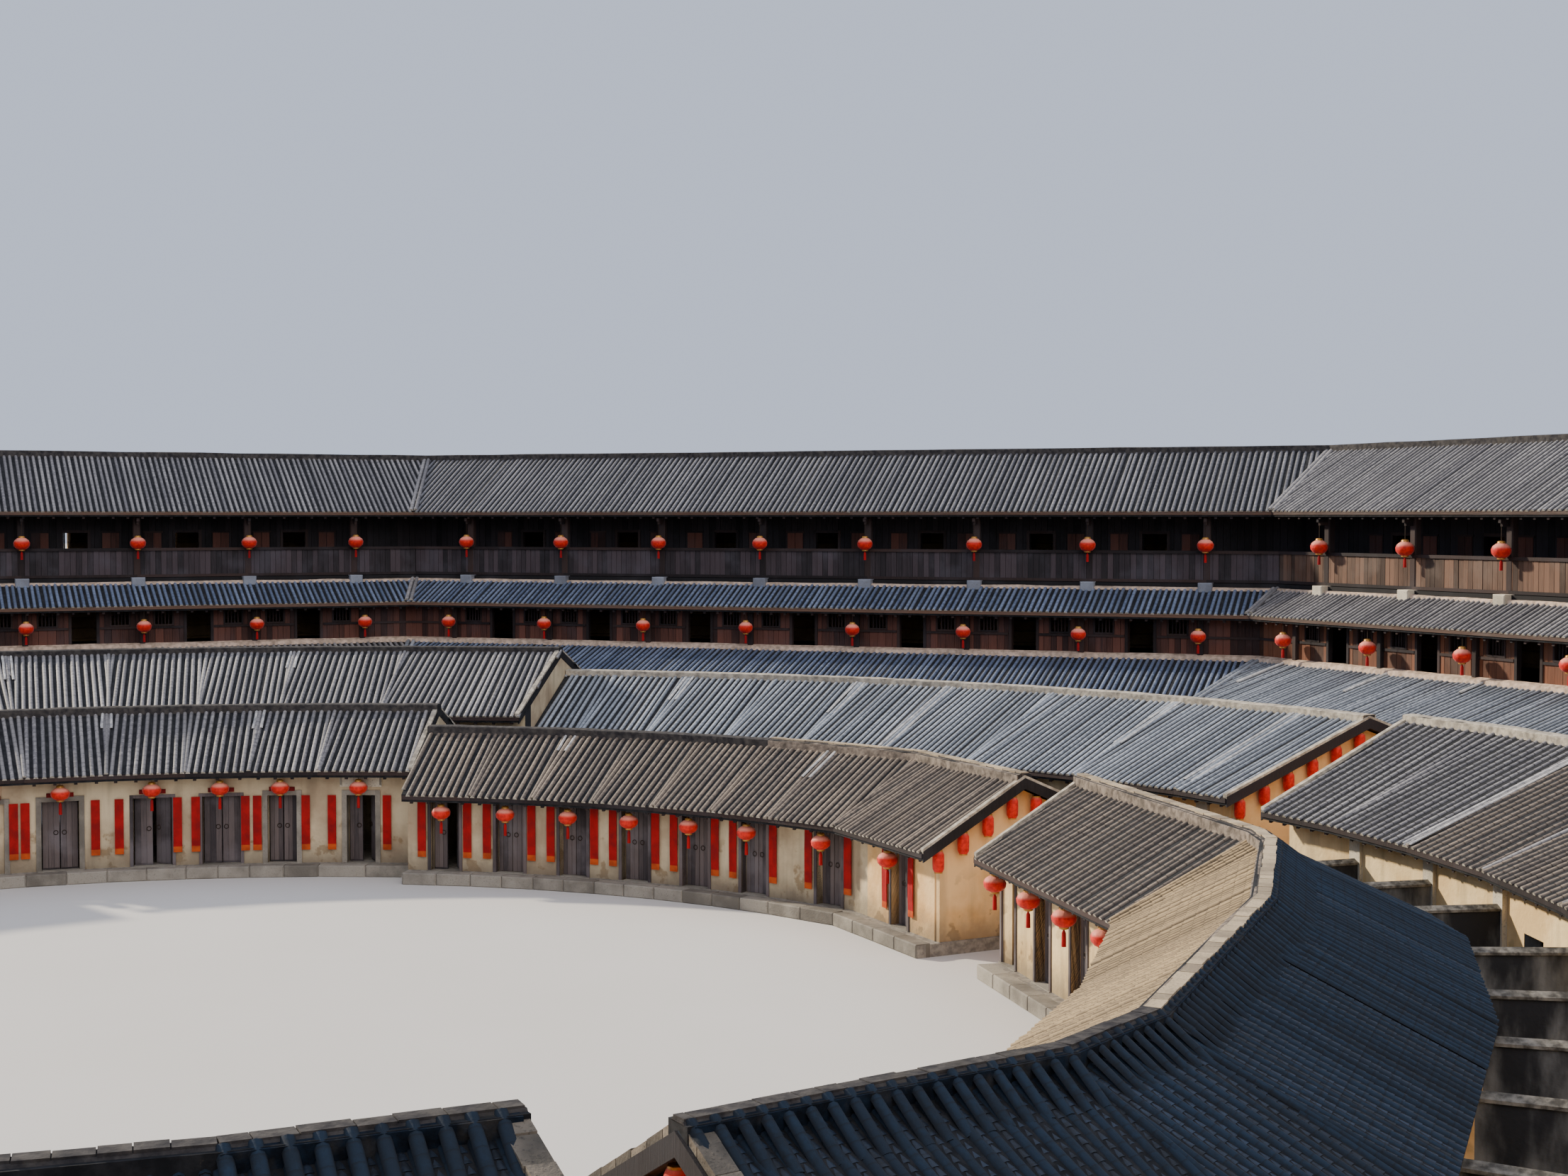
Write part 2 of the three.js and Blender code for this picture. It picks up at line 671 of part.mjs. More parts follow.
function middleWalls(section) {
  const [from, to] = [middleEnd(section.from), middleEnd(section.to)];
  const { facets } = section.middle;
  const sizes = ringSizes(MIDDLE_RING, section.middle);
  const { front, back } = sizes;
  const frontWall = ringWall(sizes, [front, front + HOUSE_WALL], 0, facets, from, to);
  const backWall = ringWall(sizes, [back - HOUSE_WALL, back], 0, facets, from, to);
  const doors = section.doors.filter((d) => d > from + MIDDLE_DOOR_CLEAR && d < to - MIDDLE_DOOR_CLEAR);
  const cuts = [
    ...doors.map((d) => doorBox(facets, d, front, THROUGH_FRONT, YARD_DOOR, 0)),
    ...everyOther(doors).map((d) => doorBox(facets, d, back, THROUGH_BACK, YARD_DOOR, 0)),
    ...alleySlots(ALLEY_HALF + HOUSE_WALL / 2),
  ];
  const gables = [gableWall(sizes, facets[0], from, 1, 0), gableWall(sizes, facets.at(-1), to, -1, 0)];
  return joined([cutBy(joined([frontWall, backWall]), cuts), ...gables]);
}

for (const { name, from, to, inner, middle } of SECTIONS) {
  const middleEnds = [middleEnd(from), middleEnd(to)];
  const innerRoof = sectionRoof(ringSizes(INNER_RING, inner), inner.facets, from, to);
  const middleRoof = sectionRoof(ringSizes(MIDDLE_RING, middle), middle.facets, ...middleEnds);
  addPiece(`front_house_roof_${name}`, innerRoof, "tiles");
  addPiece(`middle_house_roof_${name}`, middleRoof, "tiles");
}

// Where two sections of a ring meet without an alley, a party wall ties them into one row. It reaches from
// the front that stands further back to the back that stands further forward.
function stepTie(ring, before, after, bearing) {
  const half = HOUSE_WALL / 2;
  const reachOf = (placed, side, across) =>
    reachAt(placed.facets, bearing, ringSizes(ring, placed)[side], across);
  const reaches = (side) => [reachOf(before, side, -half), reachOf(after, side, half)];
  const near = Math.max(...reaches("front")) + TUCK;
  const far = Math.min(...reaches("back")) - TUCK;
  return bearingBox(bearing, [near, far], [-half, half], [0, STEP_TIE_HEIGHT]);
}

const ROWS = [["north", "north_west"], ["west"], ["south"], ["east"]];
for (const names of ROWS) {
  const sections = names.map((name) => SECTIONS.find((s) => s.name === name));
  const front = sections.map(innerWalls);
  const middle = sections.map(middleWalls);
  if (sections.length === 2) {
    const [before, after] = sections;
    front.push(stepTie(INNER_RING, before.inner, after.inner, INNER_STEP));
    middle.push(stepTie(MIDDLE_RING, before.middle, after.middle, MIDDLE_STEP));
  }
  addPiece(`front_houses_${names[0]}`, joined(front), "plaster");
  addPiece(`middle_houses_${names[0]}`, joined(middle), "plaster");
}

// Door leaves: the left leaf of a door hangs on the side of the higher bearing.
function leafSolid({ facet, face, across }, door, side, ajar) {
  const half = door.width / 2;
  const outerEdge = half - LEAF.jambGap;
  const low = PLINTH.height + LEAF.floorGap;
  const high = PLINTH.height + door.height - LEAF.headGap;
  const pivotAcross = side * (half - PIVOT.fromJamb);
  const board = new THREE.BoxGeometry(LEAF.thickness, outerEdge - LEAF.middleGap, high - low);
  board.translate(0, (side * (outerEdge + LEAF.middleGap)) / 2 - pivotAcross, (low + high) / 2);
  const pin = new THREE.BoxGeometry(PIVOT.width, PIVOT.width, 2 * LEAF.floorGap - SEAT);
  pin.translate(0, 0, PLINTH.height + SEAT + LEAF.floorGap - SEAT / 2);
  const pivotDistance = face + LEAF.depth + LEAF.thickness / 2;
  const hang = (geometry) => {
    geometry.rotateZ(rad(side * ajar)).translate(pivotDistance, across + pivotAcross, 0);
    return solidFrom(geometry.rotateZ(rad(facet.bearing)));
  };
  return joined([hang(board), hang(pin)]);
}

for (const { name, section: sectionName, door, ajar } of SWINGING_DOORS) {
  const section = SECTIONS.find((s) => s.name === sectionName);
  const bearing = section.doors[door];
  const place = doorPlace(section.inner.facets, bearing, ringSizes(INNER_RING, section.inner).front);
  const size = houseDoor(section, bearing);
  addPiece(`${name}_left_leaf`, leafSolid(place, size, 1, ajar.left), "door");
  addPiece(`${name}_right_leaf`, leafSolid(place, size, -1, ajar.right), "door");
}

tulou.scale.setScalar(MODEL_MM_PER_METRE);

export default tulou;
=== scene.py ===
"""The looks of an eight-sided tulou: a three-storey earth ring building round two rings of courtyard houses.

Sizes here are real metres, and MODEL turns them into the metres of the 1:10 model.
Bearings are degrees from +X towards +Y. A facet is one straight stretch of a ring: on it, x runs
along it towards lower bearings, a is the ring's distance from the courtyard's middle and z is the height.
"""

import json
import math

import bmesh
import bpy
import numpy as np
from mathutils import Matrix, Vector


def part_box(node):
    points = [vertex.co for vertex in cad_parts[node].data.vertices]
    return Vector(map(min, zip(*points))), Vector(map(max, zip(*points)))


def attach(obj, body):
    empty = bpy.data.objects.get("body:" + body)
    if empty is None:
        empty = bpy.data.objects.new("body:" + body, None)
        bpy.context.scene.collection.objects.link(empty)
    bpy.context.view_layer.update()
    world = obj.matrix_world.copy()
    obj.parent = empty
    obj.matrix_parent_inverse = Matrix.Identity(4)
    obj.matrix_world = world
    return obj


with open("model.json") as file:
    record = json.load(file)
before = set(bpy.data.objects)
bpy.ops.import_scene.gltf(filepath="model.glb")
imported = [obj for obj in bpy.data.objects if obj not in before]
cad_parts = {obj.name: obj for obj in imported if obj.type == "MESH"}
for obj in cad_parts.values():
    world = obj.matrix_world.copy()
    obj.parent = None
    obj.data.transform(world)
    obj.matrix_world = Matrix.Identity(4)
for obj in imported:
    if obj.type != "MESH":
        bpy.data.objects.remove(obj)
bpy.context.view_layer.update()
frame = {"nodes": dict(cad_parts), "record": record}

MODEL = 0.1
rng = np.random.default_rng(1738)

# Main building, as the CAD has it
SIDE_NAMES = ["north", "north_east", "east", "south_east", "south", "south_west", "west", "north_west"]
SUNNY_SIDES = ("north_east", "east", "south_east")
WEST_SIDES = ("north_west", "west", "south_west")
SIDE_HALF = 22.5
POST_LINE = 40.0
SECOND_FRONT = 38.75
GALLERY_WALL = 41.3
EARTH_OUTER = 47.1
BAY = 4.03
BAY_CENTRES = [i * BAY for i in range(-3, 4)]
POST_PLACES = [(i - 3.5) * BAY for i in range(8)]
SECOND_FLOOR = 5.3
THIRD_FLOOR = 7.92
UPPER_DOOR = {"width": 0.86, "height": 1.65}
UPPER_WINDOW = {"width": 0.6, "sill": 0.95, "height": 0.62, "offset": 1.25}
RAIL_HEIGHT = 1.05
OUTER_WINDOW = {"width": 0.55, "sill": 8.75, "height": 0.85}
GATE = {"width": 2.4, "height": 3.3}
GROUND_FRONT = 38.85
GROUND_DOOR = {"width": 1.2, "height": 2.3}
MAIN_ROOF = {"inner": (39.39, 10.38), "ridge": (43.2, 12.55), "outer": (48.0, 9.82)}
UPPER_SKIRT = {"inner": (38.08, 6.96), "outer": (39.72, 7.74)}
LOWER_SKIRT = {"inner": (35.1, 4.36), "outer": (38.75, 5.46)}
SLAB = 0.2

# Courtyard houses, as the CAD has them
ALLEY_HALF = 1.25
VERGE = 0.3
PLINTH = {"height": 0.3, "front": 0.6}
YARD_WALL_TOP = 2.3
INNER_RING = {
    "front": 20.0, "back": 24.2, "eave": 0.6, "eave_z": 2.62, "ridge": 2.2, "ridge_z": 4.15, "back_z": 3.05,
}
MIDDLE_RING = {
    "front": 27.9, "back": 34.0, "eave": 0.6, "eave_z": 3.2, "ridge": 4.1, "ridge_z": 4.95, "back_z": 4.05,
}
INNER_STEP = 104
MIDDLE_STEP = 100.5
HOUSE_DOOR = {"width": 0.82, "height": 1.95}
LEAF = {"from_jamb": 0.06, "jamb_gap": 0.03, "middle_gap": 0.012}
NICHE = 0.25
EVEN_UNITS = 12
EVEN_UNIT = 7.2


def spread(low, high, count):
    """count + 1 evenly spaced values from low to high."""
    return [low + (high - low) * i / count for i in range(count + 1)]


def pairs(values):
    """Each value with the next one."""
    return list(zip(values, values[1:]))


def middles(bounds):
    return [(p + q) / 2 for p, q in pairs(bounds)]


def facing(bearings):
    """Facets of a ring, each as its bearing and how far it stands out from the ring's own distance."""
    return [(bearing, 0.0) for bearing in bearings]


def facets_between(start, walls, end):
    return facing(middles([start, *walls, end]))


def even_section(name, start, end, **inner):
    """A row of equal units, centred between two alleys."""
    reach = EVEN_UNITS * EVEN_UNIT
    first = (start + end - reach) / 2
    walls = spread(first, first + reach, EVEN_UNITS)
    doors = middles(walls)
    return {
        "name": name, "from": start, "to": end, "walls": walls, "doors": doors,
        "inner": {**inner, "facets": facing(doors)}, "middle": {"facets": facing(doors)},
    }


NORTH_EVEN_DOORS = spread(73.625, 100.875, 5)
NORTH_DOORS = [57.3, 66.4, *NORTH_EVEN_DOORS]
NORTH_WALLS = [53, *middles(NORTH_DOORS)]
NORTH_WEST_DOORS = [108.5, 114.6, 119.2, 124.3, 131.0, 136.2]
NORTH_WEST_WALLS = middles(NORTH_WEST_DOORS)
NORTH_WEST_WIDTHS = dict(zip(NORTH_WEST_DOORS, [0.82, 0.82, 1.06, 1.06, 1.0, 0.9]))
EAST_DOORS = [327, 334.5, 345, 352.5, 360, 367.5, 375, 385, 391, 397, 403.1]
EAST_WALLS = [330.75, 340, 348.75, 356.25, 363.75, 371.25, 379.15, 388, 394, 400]
EAST_BENDS = [(324.5, -0.57), (343, -0.2), (358, -1), (366, -0.9), (380, -0.3), (394.5, -0.75)]
ALLEYS = (48, 139, 230, 321, 408)
SECTIONS = [
    {
        "name": "north", "from": 48, "to": INNER_STEP, "walls": NORTH_WALLS, "doors": NORTH_DOORS,
        "inner": {"lift": -0.12, "facets": [(45.5, -1), *facing([68.175, *NORTH_EVEN_DOORS])]},
        "middle": {"facets": facets_between(48, NORTH_WALLS, MIDDLE_STEP)},
    },
    {
        "name": "north_west", "from": INNER_STEP, "to": 139,
        "walls": NORTH_WEST_WALLS, "doors": NORTH_WEST_DOORS,
        "inner": {"set_back": 1.1, "lift": 0.4, "facets": facing(NORTH_WEST_DOORS)},
        "middle": {
            "set_back": -0.8, "lift": 0.8, "facets": facets_between(MIDDLE_STEP, NORTH_WEST_WALLS, 139),
        },
    },
    even_section("west", 139, 230),
    even_section("south", 230, 321, set_back=-0.3, lift=0.62),
    {
        "name": "east", "from": 321, "to": 408, "walls": EAST_WALLS, "doors": EAST_DOORS,
        "inner": {"set_back": -0.3, "lift": 0.05, "widen": 0.8, "back_drop": 0.5, "facets": EAST_BENDS},
        "middle": {
            "set_back": -0.5, "lift": 0.2, "eave_drop": 0.25, "facets": facets_between(321, EAST_WALLS, 408),
        },
    },
]


# Facets

FAR = 60.0


def direction(bearing):
    turn = math.radians(bearing)
    return np.array([math.cos(turn), math.sin(turn)])


class Facet:
    """One straight stretch of a ring. Clips are lines in plan that it stays beyond, and its distances and
    heights are measured from its origin and its lift."""

    def __init__(self, bearing, clips=(), origin=(0.0, 0.0), lift=0.0):
        self.bearing = bearing
        self.out = direction(bearing)
        self.along = direction(bearing - 90)
        self.clips = clips
        self.origin = np.array(origin)
        self.lift = lift

    def world(self, x, a, z):
        x, a, z = np.broadcast_arrays(np.asarray(x, float), a, z)
        flat = self.origin[:, None] + self.out[:, None] * a.ravel() + self.along[:, None] * x.ravel()
        return np.column_stack([flat[0], flat[1], z.ravel() + self.lift])

    def at(self, x, a, z=0.0):
        """The same direction, measured from a place on the facet."""
        east, north, height = self.world(x, a, z)[0]
        return Facet(self.bearing, origin=(east, north), lift=height)

    def limits(self, start, way, low, high):
        """The part of a line, from low to high, that lies beyond every clip."""
        for normal, least in self.clips:
            rate = normal @ way
            need = least - normal @ start
            if rate > 1e-9:
                low = max(low, need / rate)
            elif rate < -1e-9:
                high = min(high, need / rate)
            elif need > 1e-9:
                return low, low
        return low, high

    def span(self, a):
        """The lowest and highest x at the distance a."""
        return self.limits(self.origin + self.out * a, self.along, -FAR, FAR)

    def reach(self, x, near, far):
        """The lowest and highest distance of a row at x, from near to far, or nothing where it is short."""
        low, high = self.limits(self.origin + self.along * x, self.out, near, far)
        return (low, high) if high - low > 0.2 else None

    def x_of(self, bearing, a):
        return -(a + self.out @ self.origin) * math.tan(math.radians(bearing - self.bearing))


def beside(start, way, side, margin=0.0):
    """The clip that keeps a facet beside a line in plan, towards higher bearings for side 1."""
    normal = side * np.array([-way[1], way[0]]) / math.hypot(*way)
    return normal, normal @ start + margin


class Seam(Facet):
    """The line in which two facets of a ring meet. Its own distances are longer than the ring's."""

    def __init__(self, p, q):
        outs = np.array([direction(p[0]), direction(q[0])])
        step = np.linalg.solve(outs, [1.0, 1.0])
        start = np.linalg.solve(outs, [p[1], q[1]])
        super().__init__(math.degrees(math.atan2(step[1], step[0])), origin=start)
        self.stretch = math.hypot(*step)

    def line(self, *points):
        return [(a * self.stretch, z) for a, z in points]


MIDDLE_POINT = np.zeros(2)
OCTAGON_BEARINGS = [90 - 45 * k for k in range(8)]
OCTAGON_SEAMS = [Seam((b - 2 * SIDE_HALF, 0), (b, 0)) for b in OCTAGON_BEARINGS]
OCTAGON = [
    Facet(b, [beside(MIDDLE_POINT, direction(b - side * SIDE_HALF), side) for side in (1, -1)])
    for b in OCTAGON_BEARINGS
]
SIDES = list(zip(SIDE_NAMES, OCTAGON))


def line_at(p, q, x):
    return p[1] + (q[1] - p[1]) * (x - p[0]) / (q[0] - p[0])


def under(eave, top, a):
    """The height of a roof slab's underside at the distance a."""
    return line_at(eave, top, a) - SLAB


class House:
    """One ring's part of a section: its facets, its wall faces and its roof lines."""

    def __init__(self, section, ring, key):
        level = section[key]
        set_back, lift, widen, eave_drop, back_drop = (
            level.get(part, 0) for part in ("set_back", "lift", "widen", "eave_drop", "back_drop")
        )
        self.name, self.walls, self.doors = section["name"], section["walls"], section["doors"]
        self.start, self.end = section["from"], section["to"]
        if key == "middle":
            self.start = MIDDLE_STEP if self.start == INNER_STEP else self.start
            self.end = MIDDLE_STEP if self.end == INNER_STEP else self.end
        self.front = ring["front"] + set_back
        self.back = ring["back"] + set_back + widen
        self.inner = (self.front - ring["eave"], ring["eave_z"] + lift - eave_drop)
        self.ridge = (self.front + ring["ridge"], ring["ridge_z"] + lift)
        self.outer = (self.back + ring["eave"], ring["back_z"] + lift - back_drop)
        self.places = level["facets"]
        self.seams = [Seam(p, q) for p, q in pairs(self.places)]

    def facets(self, margin=ALLEY_HALF - VERGE):
        """The row's facets. Where an alley ends the row, they stay a margin off the alley's middle line."""
        ends = [
            beside(MIDDLE_POINT, direction(bearing), side, margin if bearing in ALLEYS else 0.02)
            for bearing, side in ((self.start, 1), (self.end, -1))
        ]
        made = []
        for (bearing, shift), *corners in zip(self.places, [None, *self.seams], [*self.seams, None]):
            clips = [beside(seam.origin, seam.out, side) for seam, side in zip(corners, (1, -1)) if seam]
            made.append(Facet(bearing, ends + clips, direction(bearing) * shift))
        return made

    def facet_at(self, bearing, distance):
        for facet, seam in zip(self.facets(), self.seams):
            corner = seam.origin + seam.out * seam.stretch * distance
            ahead = math.degrees(math.atan2(corner[1], corner[0])) - bearing
            if (ahead + 540) % 360 - 180 > 0:
                return facet
        return self.facets()[-1]

    def along(self, bearing, distance, x=0.0):
        """How far along a bearing the ring's line at a distance lies, on a track x beside the bearing."""
        facet = self.facet_at(bearing - math.degrees(math.atan2(x, distance)), distance)
        line = Facet(bearing)
        reach = distance + facet.out @ facet.origin - x * (facet.out @ line.along)
        return reach / (facet.out @ line.out)

    def top(self, distance):
        if distance < self.ridge[0]:
            return line_at(self.inner, self.ridge, distance)
        return line_at(self.ridge, self.outer, distance)


INNER = [House(s, INNER_RING, "inner") for s in SECTIONS]
MIDDLE = [House(s, MIDDLE_RING, "middle") for s in SECTIONS]


# Mesh parts


class Pile:
    """Closed mesh parts gathered into one piece. Each has a tone from 0 to 1 that its material varies by."""

    def __init__(self):
        self.points, self.faces, self.slots, self.tones, self.runs = [], [], [], [], []
        self.size = 0

    def add(self, points, faces, slot=0, tone=None, run=None):
        """Adds a part. Its slot is one number, or a list with one for each face."""
        count = len(points)
        self.points.append(np.asarray(points, float))
        self.faces += [[i + self.size for i in face] for face in faces]
        self.slots += slot if isinstance(slot, list) else [slot] * len(faces)
        self.tones.append(np.full(count, rng.random() if tone is None else tone))
        self.runs.append(np.zeros(count) if run is None else run)
        self.size += count

    def make(self, name, materials, body="root", slot=None, smooth=None):
        if not self.size:
            return
        mesh = bpy.data.meshes.new(name)
        mesh.from_pydata((np.concatenate(self.points) * MODEL).tolist(), [], self.faces)
        for entry in materials:
            mesh.materials.append(entry)
        mesh.polygons.foreach_set("material_index", self.slots)
        for label, values in (("tone", self.tones), ("run", self.runs)):
            layer = mesh.attributes.new(label, "FLOAT", "POINT")
            layer.data.foreach_set("value", np.concatenate(values).astype(np.float32))
        shell = bmesh.new()
        shell.from_mesh(mesh)
        bmesh.ops.recalc_face_normals(shell, faces=shell.faces)
        shell.to_mesh(mesh)
        shell.free()
        if smooth is not None:
            mesh.shade_smooth()
            mesh.set_sharp_from_angle(angle=math.radians(smooth))
        piece = bpy.data.objects.new(name, mesh)
        bpy.context.scene.collection.objects.link(piece)
        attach(piece, body)


def tube_faces(rings, around):
    """Faces of a closed tube whose rings each have the same number of points."""
    faces = []
    for k in range(rings - 1):
        for j in range(around):
            p, q = k * around + j, k * around + (j + 1) % around
            faces.append((p, q, q + around, p + around))
    faces.append(tuple(range(around))[::-1])
    faces.append(tuple((rings - 1) * around + j for j in range(around)))
    return faces


def tube(pile, rings, slot=0):
    """A closed tube through rings of points."""
    pile.add(np.concatenate(rings), tube_faces(len(rings), len(rings[0])), slot)


BOX_FACES = tube_faces(2, 4)


def box(pile, facet, xs, spans, zs, slot=0, tone=None):
    """A box on a facet: its range along, its range of distance and its range of height."""
    (x0, x1), (a0, a1), (z0, z1) = xs, spans, zs
    points = facet.world([x0, x1, x1, x0] * 2, [a0, a0, a1, a1] * 2, [z0] * 4 + [z1] * 4)
    pile.add(points, BOX_FACES, slot, tone)


def stone(pile, facet, xs, spans, zs, bevel, slot=0):
    """A block whose front face, the nearer one, is drawn in by an uneven bevel."""
    (x0, x1), (a0, a1), (z0, z1) = xs, spans, zs
    push = rng.uniform(-0.35, 0.35, 8) * bevel
    edge_x = np.array([x0 + bevel, x1 - bevel, x1 - bevel, x0 + bevel]) + push[:4]
    edge_z = np.array([z0 + bevel, z0 + bevel, z1 - bevel, z1 - bevel]) + push[4:]
    rim = a0 + math.copysign(bevel, a1 - a0)
    behind = [facet.world([x0, x1, x1, x0], a, [z0, z0, z1, z1]) for a in (rim, a1)]
    tube(pile, [facet.world(edge_x, a0, edge_z), *behind], slot)


def plate(pile, facet, outline, spans, slot=0):
    """An outline of (x, z) points given a depth."""
    xs, zs = np.array(outline).T
    tube(pile, [facet.world(xs, a, zs) for a in spans], slot)


def post(pile, place, width, zs):
    """An upright post with its corners taken off."""
    h = width / 2
    c = h - width * 0.12
    corners = [(-c, -h), (c, -h), (h, -c), (h, c), (c, h), (-c, h), (-h, c), (-h, -c)]
    tube(pile, [place.world(*np.array(corners).T, z) for z in zs])


def beam(pile, place, start, end, width, depth):
    """A beam whose upper edge runs between two (a, z) points."""
    h = width / 2
    tube(pile, [place.world([-h, h, h, -h], a, [z, z, z - depth, z - depth]) for a, z in (start, end)])


def sweep(pile, facet, outline, steps=1, wobble=0.0, slot=0):
    """A closed outline of (a, z) points carried along a facet from one end to the other."""
    spans = [facet.span(a) for a, _ in outline]
    if min(high - low for low, high in spans) < 0.1:
        return
    rings = []
    for t in spread(0, 1, steps):
        shift = rng.normal(0, wobble, 2) if wobble and 0 < t < 1 else (0, 0)
        xs = [low + (high - low) * t for low, high in spans]
        rings.append(facet.world(xs, [a + shift[0] for a, _ in outline], [z + shift[1] for _, z in outline]))
    tube(pile, rings, slot)


# Tile rows

ROLL = {"pitch": 0.21, "radius": 0.066, "height": 0.95, "sink": 0.015, "overhang": 0.05, "tile": 0.22}
ROLL_ANGLES = np.radians([180, 135, 90, 45, 0])
PAN_SLOT = 4
WIDE_PITCH = 0.27
WIDE_ROLL = {"radius": 0.074, "height": 0.7, "stations": 7, "wobble": 0.015}
PAN = {"radius": 0.06, "height": 0.42, "tile": 0.14, "taper": 0.62, "wobble": 0.004}


def roll(pile, facet, x, start, end, radius=ROLL["radius"], height=ROLL["height"], stations=3, tile=None,
         taper=0.86, wobble=0.012, slots=(0, 1), lift=0.0):
    """A half-round roll from one (a, z) point to another. With a tile length, each tile overlaps the next."""
    start, end = np.array(start, float), np.array(end, float)
    length = np.linalg.norm(end - start)
    way = (end - start) / length
    up = np.array([-way[1], way[0]]) * math.copysign(1, way[0])
    if tile:
        edges = np.arange(0, length, tile)
        edges = np.append(edges[edges < length - 0.3 * tile], length)
        marks = np.repeat(edges, 2)[1:-1]
        sizes = np.tile([1.0, taper], len(edges) - 1)
    else:
        marks = np.linspace(0, length, stations)
        sizes = np.ones(stations)
    count = len(marks)
    side = np.cumsum(rng.normal(0, wobble / math.sqrt(count), count))
    rise = rng.normal(0, wobble * 0.5) + lift
    lateral = -np.cos(ROLL_ANGLES) * radius
    above = np.sin(ROLL_ANGLES) * radius * height
    xs = x + side[:, None] - sizes[:, None] * lateral[None, :]
    h = sizes[:, None] * above[None, :] - ROLL["sink"] + rise
    a = start[0] + way[0] * marks[:, None] + up[0] * h
    z = start[1] + way[1] * marks[:, None] + up[1] * h
    around = len(ROLL_ANGLES)
    faces = tube_faces(count, around)
    slot = [slots[0]] * len(faces)
    slot[-2] = slots[1]
    pile.add(facet.world(xs, a, z), faces, slot, run=np.repeat(marks, around))


def tile_slope(pile, facet, eave, top, jointed=False, slots=(0, 1), wide=False, pans=False):
    """Rolls side by side from the eave to the ridge, cut at the facet's seams, with or without pan tiles."""
    near, far = sorted((eave[0], top[0]))
    inward = eave[0] < top[0]
    lows, highs = zip(facet.span(near), facet.span(far))
    pitch = WIDE_PITCH if wide else ROLL["pitch"]
    shape = WIDE_ROLL if pans else {"tile": ROLL["tile"] if jointed else None}
    first, last = math.ceil(min(lows) / pitch), math.floor(max(highs) / pitch)
    rows = [(i * pitch, {**shape, "slots": slots}) for i in range(first, last + 1)]
    if pans:
        rows += [((i + 0.5) * pitch, {**PAN, "slots": (PAN_SLOT, PAN_SLOT)}) for i in range(first, last)]
    for x, shape in rows:
        found = facet.reach(x, near, far)
        if not found:
            continue
        start, end = found if inward else found[::-1]
        if abs(start - eave[0]) < 1e-6:
            start += -ROLL["overhang"] if inward else ROLL["overhang"]
        roll(pile, facet, x, (start, line_at(eave, top, start)), (end, line_at(eave, top, end)), **shape)


# Materials


def paint(text):
    """The linear colour of an sRGB hex colour."""
    parts = [int(text[i : i + 2], 16) / 255 for i in (0, 2, 4)]
    return tuple(p / 12.92 if p < 0.04045 else ((p + 0.055) / 1.055) ** 2.4 for p in parts) + (1.0,)


class Value:
    """What a node puts out. Sums, products and comparisons of values and constants make further nodes."""

    def __init__(self, look, socket):
        self.look, self.socket = look, socket

    def __add__(self, other):
        return self.look.math("ADD", self, other)

    def __sub__(self, other):
        return self.look.math("SUBTRACT", self, other)

    def __mul__(self, other):
        return self.look.math("MULTIPLY", self, other)

    def __gt__(self, other):
        return self.look.math("GREATER_THAN", self, other)

    def __lt__(self, other):
        return self.look.math("LESS_THAN", self, other)

    def saw(self, length):
        """0 to 1 along each length."""
        return self.look.math("FRACT", self.look.math("DIVIDE", self, length))

    def step(self, low, high):
        """0 below low, 1 above high, smooth between, or the other way round where low is above high."""
        return self.look.node("MapRange", "Result", {
            "Value": self, "From Min": min(low, high), "From Max": max(low, high),
            "To Min": float(low > high), "To Max": float(low < high),
        }, interpolation_type="SMOOTHSTEP")

    def over(self, base, colour):
        """A colour over a base, by this share."""
        return self.look.node("Mix", 2, {0: self, 6: base, 7: colour}, data_type="RGBA")


class Look:
    """A material's nodes. Places are in real metres."""

    def __init__(self, name, roughness=0.9, specular=0.3):
        self.material = bpy.data.materials.new(name)
        self.material.use_nodes = True
        self.tree = self.material.node_tree
        self.shader = self.tree.nodes["Principled BSDF"]
        self.feed(self.shader, {"Roughness": roughness, "Specular IOR Level": specular})
        self.place = self.vector("MULTIPLY", self.node("TexCoord", "Object"), (1 / MODEL,) * 3)
        self.normal = self.node("NewGeometry", "Normal")
        self.east, self.north, self.height = (self.node("SeparateXYZ", i, {0: self.place}) for i in range(3))
        self.upward = self.node("SeparateXYZ", 2, {0: self.normal})
        self.tone, self.run = (self.node("Attribute", "Fac", attribute_name=name) for name in ("tone", "run"))

    def feed(self, node, inputs):
        """Gives a node's inputs their values: another node's value, a hex colour or a constant."""
        for key, value in inputs.items():
            if isinstance(value, Value):
                self.tree.links.new(value.socket, node.inputs[key])
            else:
                node.inputs[key].default_value = paint(value) if isinstance(value, str) else value

    def node(self, kind, output, inputs=None, **settings):
        made = self.tree.nodes.new("ShaderNode" + kind)
        for key, value in settings.items():
            setattr(made, key, value)
        self.feed(made, inputs or {})
        return Value(self, made.outputs[output])

    def vector(self, operation, *values, output="Vector"):
        return self.node("VectorMath", output, dict(enumerate(values)), operation=operation)

    def math(self, operation, *values):
        return self.node("Math", 0, dict(enumerate(values)), operation=operation)

    def noise(self, scale, detail, stretch=(1, 1, 1), roughness=0.55):
        place = self.vector("MULTIPLY", self.place, stretch)
        inputs = {"Vector": place, "Scale": scale, "Detail": detail, "Roughness": roughness}
        return self.node("TexNoise", "Fac", inputs)

    def finish(self, colour, height=None, distance=0.01):
        """Gives the shader its colour and its bumps, and returns the material."""
        self.feed(self.shader, {"Base Color": colour})
        if height is not None:
            bump = self.node("Bump", "Normal", {"Distance": distance * MODEL, "Height": height})
            self.feed(self.shader, {"Normal": bump})
        return self.material


